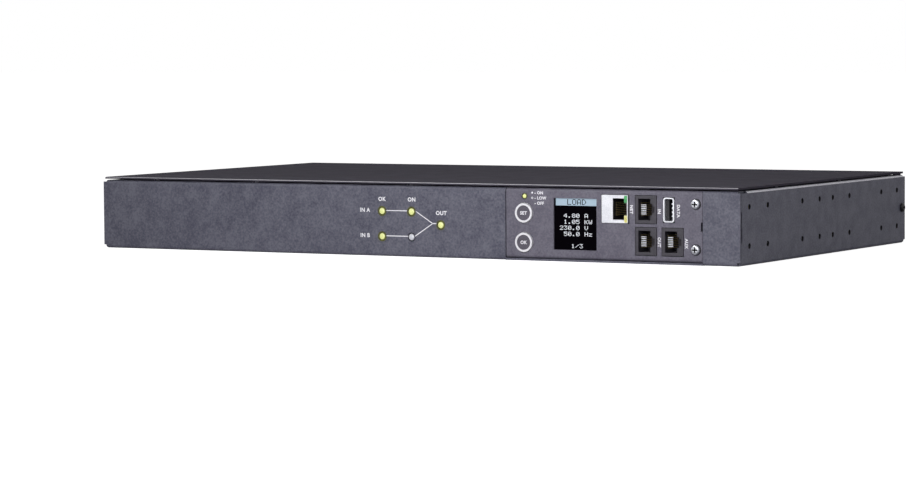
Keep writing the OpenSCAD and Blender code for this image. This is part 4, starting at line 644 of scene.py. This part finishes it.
def discMesh(shape, x, y, radius, place, inner=0.0, sides=28):
    # a dot, or a ring where inner is above nought
    rings = []
    for reach in (inner, radius):
        for height in (0, printDeep):
            rings.append([shape.verts.new(place @ Vector((x + reach * math.cos(math.tau * k / sides),
                                                          y + reach * math.sin(math.tau * k / sides), height)))
                          for k in range(sides)] if reach else None)
    innerLow, innerTop, outerLow, outerTop = rings
    for k in range(sides):
        n = (k + 1) % sides
        shape.faces.new([outerLow[k], outerLow[n], outerTop[n], outerTop[k]])
        if inner:
            shape.faces.new([outerTop[k], outerTop[n], innerTop[n], innerTop[k]])
            shape.faces.new([outerLow[n], outerLow[k], innerLow[k], innerLow[n]])
            shape.faces.new([innerLow[n], innerLow[k], innerTop[k], innerTop[n]])
    if not inner:
        shape.faces.new(outerTop)
        shape.faces.new(outerLow[::-1])


def wordMesh(shape, word, x, y, tall, place, turn=0.0, align="CENTER"):
    # a word set with its capitals that tall, centred on its height, as thin closed letters
    curve = bpy.data.curves.new("word", "FONT")
    curve.body = word
    curve.align_x = align
    curve.size = tall / lettering["capShare"]
    curve.offset = tall * lettering["bold"]
    curve.space_character = lettering["spacing"]
    curve.resolution_u = lettering["curveSteps"]
    curve.extrude = printDeep / 2
    letters = bpy.data.objects.new("word", curve)
    scene.collection.objects.link(letters)
    mesh = evaluatedMesh(letters)
    spin = Matrix.Rotation(math.radians(turn), 4, "Z")
    mesh.transform(place @ Matrix.Translation((x, y, printDeep / 2)) @ spin
                   @ Matrix.Translation((0, -tall / 2, 0)))
    shape.from_mesh(mesh)
    bpy.data.meshes.remove(mesh)


def printPiece(name, shape, material, body="unit"):
    weld = 0.0005 * mm
    mesh = bpy.data.meshes.new(name)
    bmesh.ops.remove_doubles(shape, verts=shape.verts, dist=weld)
    shape.to_mesh(mesh)
    shape.free()
    addPiece(name, mesh, material, body)


def panelPlane(depth, facing="front"):
    # panel coordinates (right, up, out) to the frame's, for the front or the rear
    turn = Matrix.Rotation(math.radians(90), 4, "X")
    if facing == "rear":
        turn = Matrix.Rotation(math.pi, 4, "Z") @ turn
    return Matrix.Translation((0, depth, 0)) @ turn


front, rear = panelPlane(trayLow.y), panelPlane(trayHigh.y, "rear")

# which source feeds the output: lamps joined by lines, with a word to each
diagram = {"line": 0.55 * mm, "word": 2.3 * mm, "gap": 0.4 * mm, "lampRadius": 2.65 * mm, "lineRise": 0.4 * mm,
           "branchIn": 0.2 * mm, "branchRise": 0.6 * mm, "elbow": 5.4 * mm, "elbowRise": 0.8 * mm,
           "endIn": 0.3 * mm, "headZ": 33.9 * mm, "headShift": 0.2 * mm, "sourceLeft": 11.8 * mm,
           "sourceZ": (27.2 * mm, 12.2 * mm), "outZ": 26.3 * mm, "outShift": 0.4 * mm}
lampA, lampB = middle("input_a_led"), middle("input_b_led")
lampOnA, lampOnB, lampOut = middle("selected_a_led"), middle("selected_b_led"), middle("output_led")
shape = bmesh.new()
for start, end in ((lampA, lampOnA), (lampB, lampOnB)):
    strokeMesh(shape, [(start.x + diagram["lampRadius"] - diagram["gap"], start.z + diagram["lineRise"]),
                       (end.x - diagram["lampRadius"] + diagram["gap"], end.z + diagram["lineRise"])],
               diagram["line"], front)
elbow = (lampOut.x - diagram["elbow"], lampOut.z + diagram["elbowRise"])
for start in (lampOnA, lampOnB):
    branch = (start.x + diagram["lampRadius"] - diagram["branchIn"], start.z + diagram["branchRise"])
    strokeMesh(shape, [branch, elbow], diagram["line"], front)
lineEnd = (lampOut.x - diagram["lampRadius"] + diagram["endIn"], elbow[1])
strokeMesh(shape, [elbow, lineEnd], diagram["line"], front)
sourceX = lampA.x - diagram["sourceLeft"]
for word, x, z in (("OK", lampA.x, diagram["headZ"]),
                   ("ON", lampOnA.x + diagram["headShift"], diagram["headZ"]),
                   ("IN A", sourceX, diagram["sourceZ"][0]), ("IN B", sourceX, diagram["sourceZ"][1]),
                   ("OUT", lampOut.x + diagram["outShift"], diagram["outZ"])):
    wordMesh(shape, word, x, z, diagram["word"], front)
printPiece("diagram_print", shape, whiteInk)

# painted light and shade: olive rings round the lit lamps
halo = {"inner": 2.3 * mm, "outer": 3.05 * mm, "sides": 40}
shape = bmesh.new()
for place in (lampA, lampB, lampOnA, lampOut):
    discMesh(shape, place.x, place.z, halo["outer"], front, inner=halo["inner"], sides=halo["sides"])
printPiece("lamp_spill_painted_rings", shape, paintedLampSpill)

# words beside the sockets, turned to read downwards, and the health lamp's legend
socketWords = {"NET": (148.9, 30.8), "IN": (166.4, 30.0), "OUT": (166.4, 12.6), "AUX": (183.4, 12.2),
               "DATA": (178.4, 30.5)}
socketWordTall, socketWordTurn = 1.8 * mm, -90
legend = {"x": 85.0 * mm, "z": 39.3 * mm, "pitch": 3.0 * mm, "dot": 0.6 * mm, "hollow": 0.3 * mm,
          "gap": 1.5 * mm, "word": 1.7 * mm, "dots": 2}
shape = bmesh.new()
for word, (x, z) in socketWords.items():
    wordMesh(shape, word, x * mm, z * mm, socketWordTall, front, turn=socketWordTurn)
for row, word in enumerate(("- ON", "- LOW", "- OFF")):
    z = legend["z"] - row * legend["pitch"]
    wordMesh(shape, word, legend["x"] + legend["gap"], z, legend["word"], front, align="LEFT")
    if row < legend["dots"]:
        discMesh(shape, legend["x"], z, legend["dot"], front, inner=row * legend["hollow"])
printPiece("module_print", shape, whiteInk)

buttonWordTall = 1.9 * mm
for side, word in (("select", "SET"), ("enter", "OK")):
    centre = middle(side + "_inlay")
    shape = bmesh.new()
    wordMesh(shape, word, centre.x, centre.z, buttonWordTall, panelPlane(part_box(side + "_inlay")[0].y))
    printPiece(side + "_print", shape, whiteInk, side + "_button")

# letters over the inlets and numbers over the outlets
rearMarks = {"letterTall": 2.4 * mm, "numberTall": 2.0 * mm, "rise": 2.6 * mm, "bankRise": 2.2 * mm,
             "perBank": 4}
shape = bmesh.new()
for node, word, tall in (("inlet_a", "A", rearMarks["letterTall"]), ("inlet_b", "B", rearMarks["letterTall"]),
                         ("outlet_c19", "9", rearMarks["numberTall"])):
    wordMesh(shape, word, -middle(node).x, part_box(node)[1].z + rearMarks["rise"], tall, rear)
for bank, node in enumerate(("outlet_bank_1", "outlet_bank_2")):
    low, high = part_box(node)
    pitch = (high.x - low.x) / rearMarks["perBank"]
    for k in range(rearMarks["perBank"]):
        wordMesh(shape, str(bank * rearMarks["perBank"] + k + 1), -(high.x - pitch * (k + 0.5)),
                 high.z + rearMarks["bankRise"], rearMarks["numberTall"], rear)
printPiece("rear_print", shape, whiteInk)
print("printed marks ready")

# the display's characters: seven rows of five cells, each row as bits
glyphs = {
    "0": (14, 17, 19, 21, 25, 17, 14), "1": (4, 12, 4, 4, 4, 4, 14), "2": (14, 17, 1, 2, 4, 8, 31),
    "3": (31, 2, 4, 2, 1, 17, 14), "4": (2, 6, 10, 18, 31, 2, 2), "5": (31, 16, 30, 1, 1, 17, 14),
    "8": (14, 17, 17, 14, 17, 17, 14), ".": (0, 0, 0, 0, 0, 12, 12), "/": (0, 1, 2, 4, 8, 16, 0),
    "A": (14, 17, 17, 17, 31, 17, 17), "K": (17, 18, 20, 24, 20, 18, 17), "W": (17, 17, 17, 21, 21, 21, 10),
    "V": (17, 17, 17, 17, 17, 10, 4), "H": (17, 17, 17, 31, 17, 17, 17), "z": (0, 0, 31, 2, 4, 8, 31),
    "L": (16, 16, 16, 16, 16, 16, 31), "O": (14, 17, 17, 17, 17, 17, 14), "D": (28, 18, 17, 17, 17, 18, 28),
    "N": (17, 17, 25, 21, 19, 17, 17)}
display = {"wide": 27.7 * mm, "tall": 29.7 * mm, "cellWide": 0.44 * mm, "cellTall": 0.34 * mm, "fill": 0.92,
           "deep": 0.05 * mm, "columns": 5, "rows": 7, "advance": 6, "valueEnd": 16.6 * mm,
           "unitStart": 19.4 * mm, "readings": {10.0: ("4.80", "A"), 13.5: ("1.05", "KW"), 17.0: ("230.0", "V"),
                                                20.5: ("50.0", "Hz")},
           "footDown": 27.4 * mm, "footShift": 0.9 * mm}
header = {"deep": 4.2 * mm, "down": 0.05 * mm, "leftIn": 0.9 * mm, "rightIn": 0.1 * mm, "wordDown": 0.55 * mm,
          "wordHalf": 5.566 * mm, "stepWide": 0.529 * mm, "stepTall": 0.46 * mm, "cellWide": 0.506 * mm,
          "cellTall": 0.4416 * mm, "cellDeep": 0.03 * mm, "wordProud": 0.04 * mm}


def glyphPoints(word, left, top, wide, tall, depth):
    # the middles of a word's lit cells
    last = display["columns"] - 1
    return [(left + (k * display["advance"] + column + 0.5) * wide, depth, top - (row + 0.5) * tall)
            for k, letter in enumerate(word) for row, bits in enumerate(glyphs[letter])
            for column in range(display["columns"]) if bits >> (last - column) & 1]


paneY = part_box("lcd_pane")[0].y
paneMiddle = middle("lcd_pane")
windowLeft, windowTop = paneMiddle.x - display["wide"] / 2, paneMiddle.z + display["tall"] / 2
cellY = paneY - display["deep"] / 2
step, stepTall = display["cellWide"], display["cellTall"]
halfTall = display["rows"] / 2 * stepTall
points = []
for down, (value, unitMark) in display["readings"].items():
    top = windowTop - down * mm + halfTall
    valueLeft = windowLeft + display["valueEnd"] - len(value) * display["advance"] * step
    points += glyphPoints(value, valueLeft, top, step, stepTall, cellY)
    points += glyphPoints(unitMark, windowLeft + display["unitStart"], top, step, stepTall, cellY)
foot = "1/3"
footLeft = paneMiddle.x + display["footShift"] - len(foot) * display["advance"] / 2 * step
points += glyphPoints(foot, footLeft, windowTop - display["footDown"] + halfTall, step, stepTall, cellY)
slabPiece("display_digits", points, step * display["fill"], stepTall * display["fill"], display["deep"],
          cellWhite)

shape = bmesh.new()
barZ = windowTop - header["deep"] / 2 - header["down"]
strokeMesh(shape, [(windowLeft + header["leftIn"], barZ),
                   (windowLeft + display["wide"] - header["rightIn"], barZ)], header["deep"], panelPlane(paneY))
printPiece("display_head_bar", shape, cellBlue)
points = glyphPoints("LOAD", paneMiddle.x - header["wordHalf"], windowTop - header["wordDown"],
                     header["stepWide"], header["stepTall"], paneY - header["wordProud"])
slabPiece("display_head_word", points, header["cellWide"], header["cellTall"], header["cellDeep"],
          displayGlass)
print("display ready")

view = {"lensMm": 135.28, "sensorMm": 36.0, "farM": 20.0, "azimuth": 29.574, "elevation": 3.635,
        "roll": -0.381, "place": (1.01272, -1.84924, 0.13101)}
lights = {
    "key_light": {"place": (0.12, -0.62, 0.22), "target": (0.10, -0.12, 0.02), "size": (0.36, 0.3),
                  "watts": 2.05, "onMatt": True},
    "side_light": {"place": (1.5, 0.15, 0.35), "target": (0.2, 0.0, 0.02), "size": (0.8, 0.5),
                   "watts": 1.6, "onMatt": True},
    "edge_light": {"place": (-0.7, 0.1, 1.3), "target": (0.0, 0.0, 0.03), "size": (1.6, 0.5),
                   "watts": 30.0, "onMatt": False}}
floorLook = {"reach": 8.0, "glow": 0.85, "mottle": 3.0, "dark": "#f4f4f4", "light": "#fbfbfb"}
worldFill = 0.22


def cameraAt():
    look = bpy.data.cameras.new("camera")
    look.lens = view["lensMm"]
    look.sensor_width = view["sensorMm"]
    look.clip_end = view["farM"]
    holder = bpy.data.objects.new("camera", look)
    scene.collection.objects.link(holder)
    azimuth, elevation, roll = (math.radians(view[key]) for key in ("azimuth", "elevation", "roll"))
    back = Vector((math.sin(azimuth) * math.cos(elevation), -math.cos(azimuth) * math.cos(elevation),
                   math.sin(elevation)))
    holder.rotation_mode = "QUATERNION"
    rolled = Matrix.Rotation(roll, 3, "Z").to_quaternion()
    holder.rotation_quaternion = (-back).to_track_quat("-Z", "Y") @ rolled
    holder.location = view["place"]
    scene.camera = holder


def softLight(name, light):
    lamp = bpy.data.lights.new(name, "AREA")
    lamp.shape = "RECTANGLE"
    lamp.size, lamp.size_y = light["size"]
    lamp.energy = light["watts"]
    holder = bpy.data.objects.new(name, lamp)
    scene.collection.objects.link(holder)
    holder.location = light["place"]
    holder.rotation_mode = "QUATERNION"
    aim = Vector(light["target"]) - Vector(light["place"])
    holder.rotation_quaternion = aim.to_track_quat("-Z", "Y")
    holder.visible_camera = False
    holder.visible_diffuse = light["onMatt"]


def whiteWorld(fill):
    # white to the eye and in reflections, a plain grey fill on matt surfaces
    world = bpy.data.worlds.new("studio")
    scene.world = world
    world.use_nodes = True
    tree = world.node_tree
    tree.nodes.clear()
    path = addNode(tree, "ShaderNodeLightPath")
    seen = addNode(tree, "ShaderNodeMath", {"operation": "MAXIMUM"}, {
        0: path.outputs["Is Camera Ray"], 1: path.outputs["Is Transmission Ray"]})
    seenOrShiny = addNode(tree, "ShaderNodeMath", {"operation": "MAXIMUM"}, {
        0: seen.outputs["Value"], 1: path.outputs["Is Glossy Ray"]})
    plain = addNode(tree, "ShaderNodeBackground", {"Color": (1, 1, 1, 1), "Strength": 1.0})
    grey = addNode(tree, "ShaderNodeBackground", {"Color": (1, 1, 1, 1), "Strength": fill})
    both = addNode(tree, "ShaderNodeMixShader", {}, {
        0: seenOrShiny.outputs["Value"], 1: grey.outputs["Background"], 2: plain.outputs["Background"]})
    addNode(tree, "ShaderNodeOutputWorld", {}, {"Surface": both.outputs["Shader"]})


def studioFloor(look):
    # pale matt floor; its own glow towards the camera keeps it white, and its shadow stays soft
    reach = look["reach"]
    mesh = bpy.data.meshes.new("studio_floor")
    mesh.from_pydata([(-reach, -reach, 0), (reach, -reach, 0), (reach, reach, 0), (-reach, reach, 0)], [],
                     [(0, 1, 2, 3)])
    floor = bpy.data.objects.new("studio_floor", mesh)
    scene.collection.objects.link(floor)
    material = bpy.data.materials.new("pale_matt_floor")
    material.use_nodes = True
    tree = material.node_tree
    tree.nodes.clear()
    coords = addNode(tree, "ShaderNodeTexCoord")
    mottle = addNode(tree, "ShaderNodeTexNoise", {"Scale": look["mottle"]},
                     {"Vector": coords.outputs["Object"]})
    tone = twoTones(tree, mottle.outputs["Fac"], 0.0, look["dark"], 1.0, look["light"])
    matt = addNode(tree, "ShaderNodeBsdfDiffuse", {}, {"Color": tone})
    path = addNode(tree, "ShaderNodeLightPath")
    strength = addNode(tree, "ShaderNodeMath", {"operation": "MULTIPLY", 1: look["glow"]}, {
        0: path.outputs["Is Camera Ray"]})
    shine = addNode(tree, "ShaderNodeEmission", {"Color": (1, 1, 1, 1)},
                    {"Strength": strength.outputs["Value"]})
    both = addNode(tree, "ShaderNodeAddShader", {}, {0: matt.outputs["BSDF"], 1: shine.outputs["Emission"]})
    addNode(tree, "ShaderNodeOutputMaterial", {}, {"Surface": both.outputs["Shader"]})
    mesh.materials.append(material)


cameraAt()
for name, light in lights.items():
    softLight(name, light)
whiteWorld(worldFill)
studioFloor(floorLook)
print("studio ready")
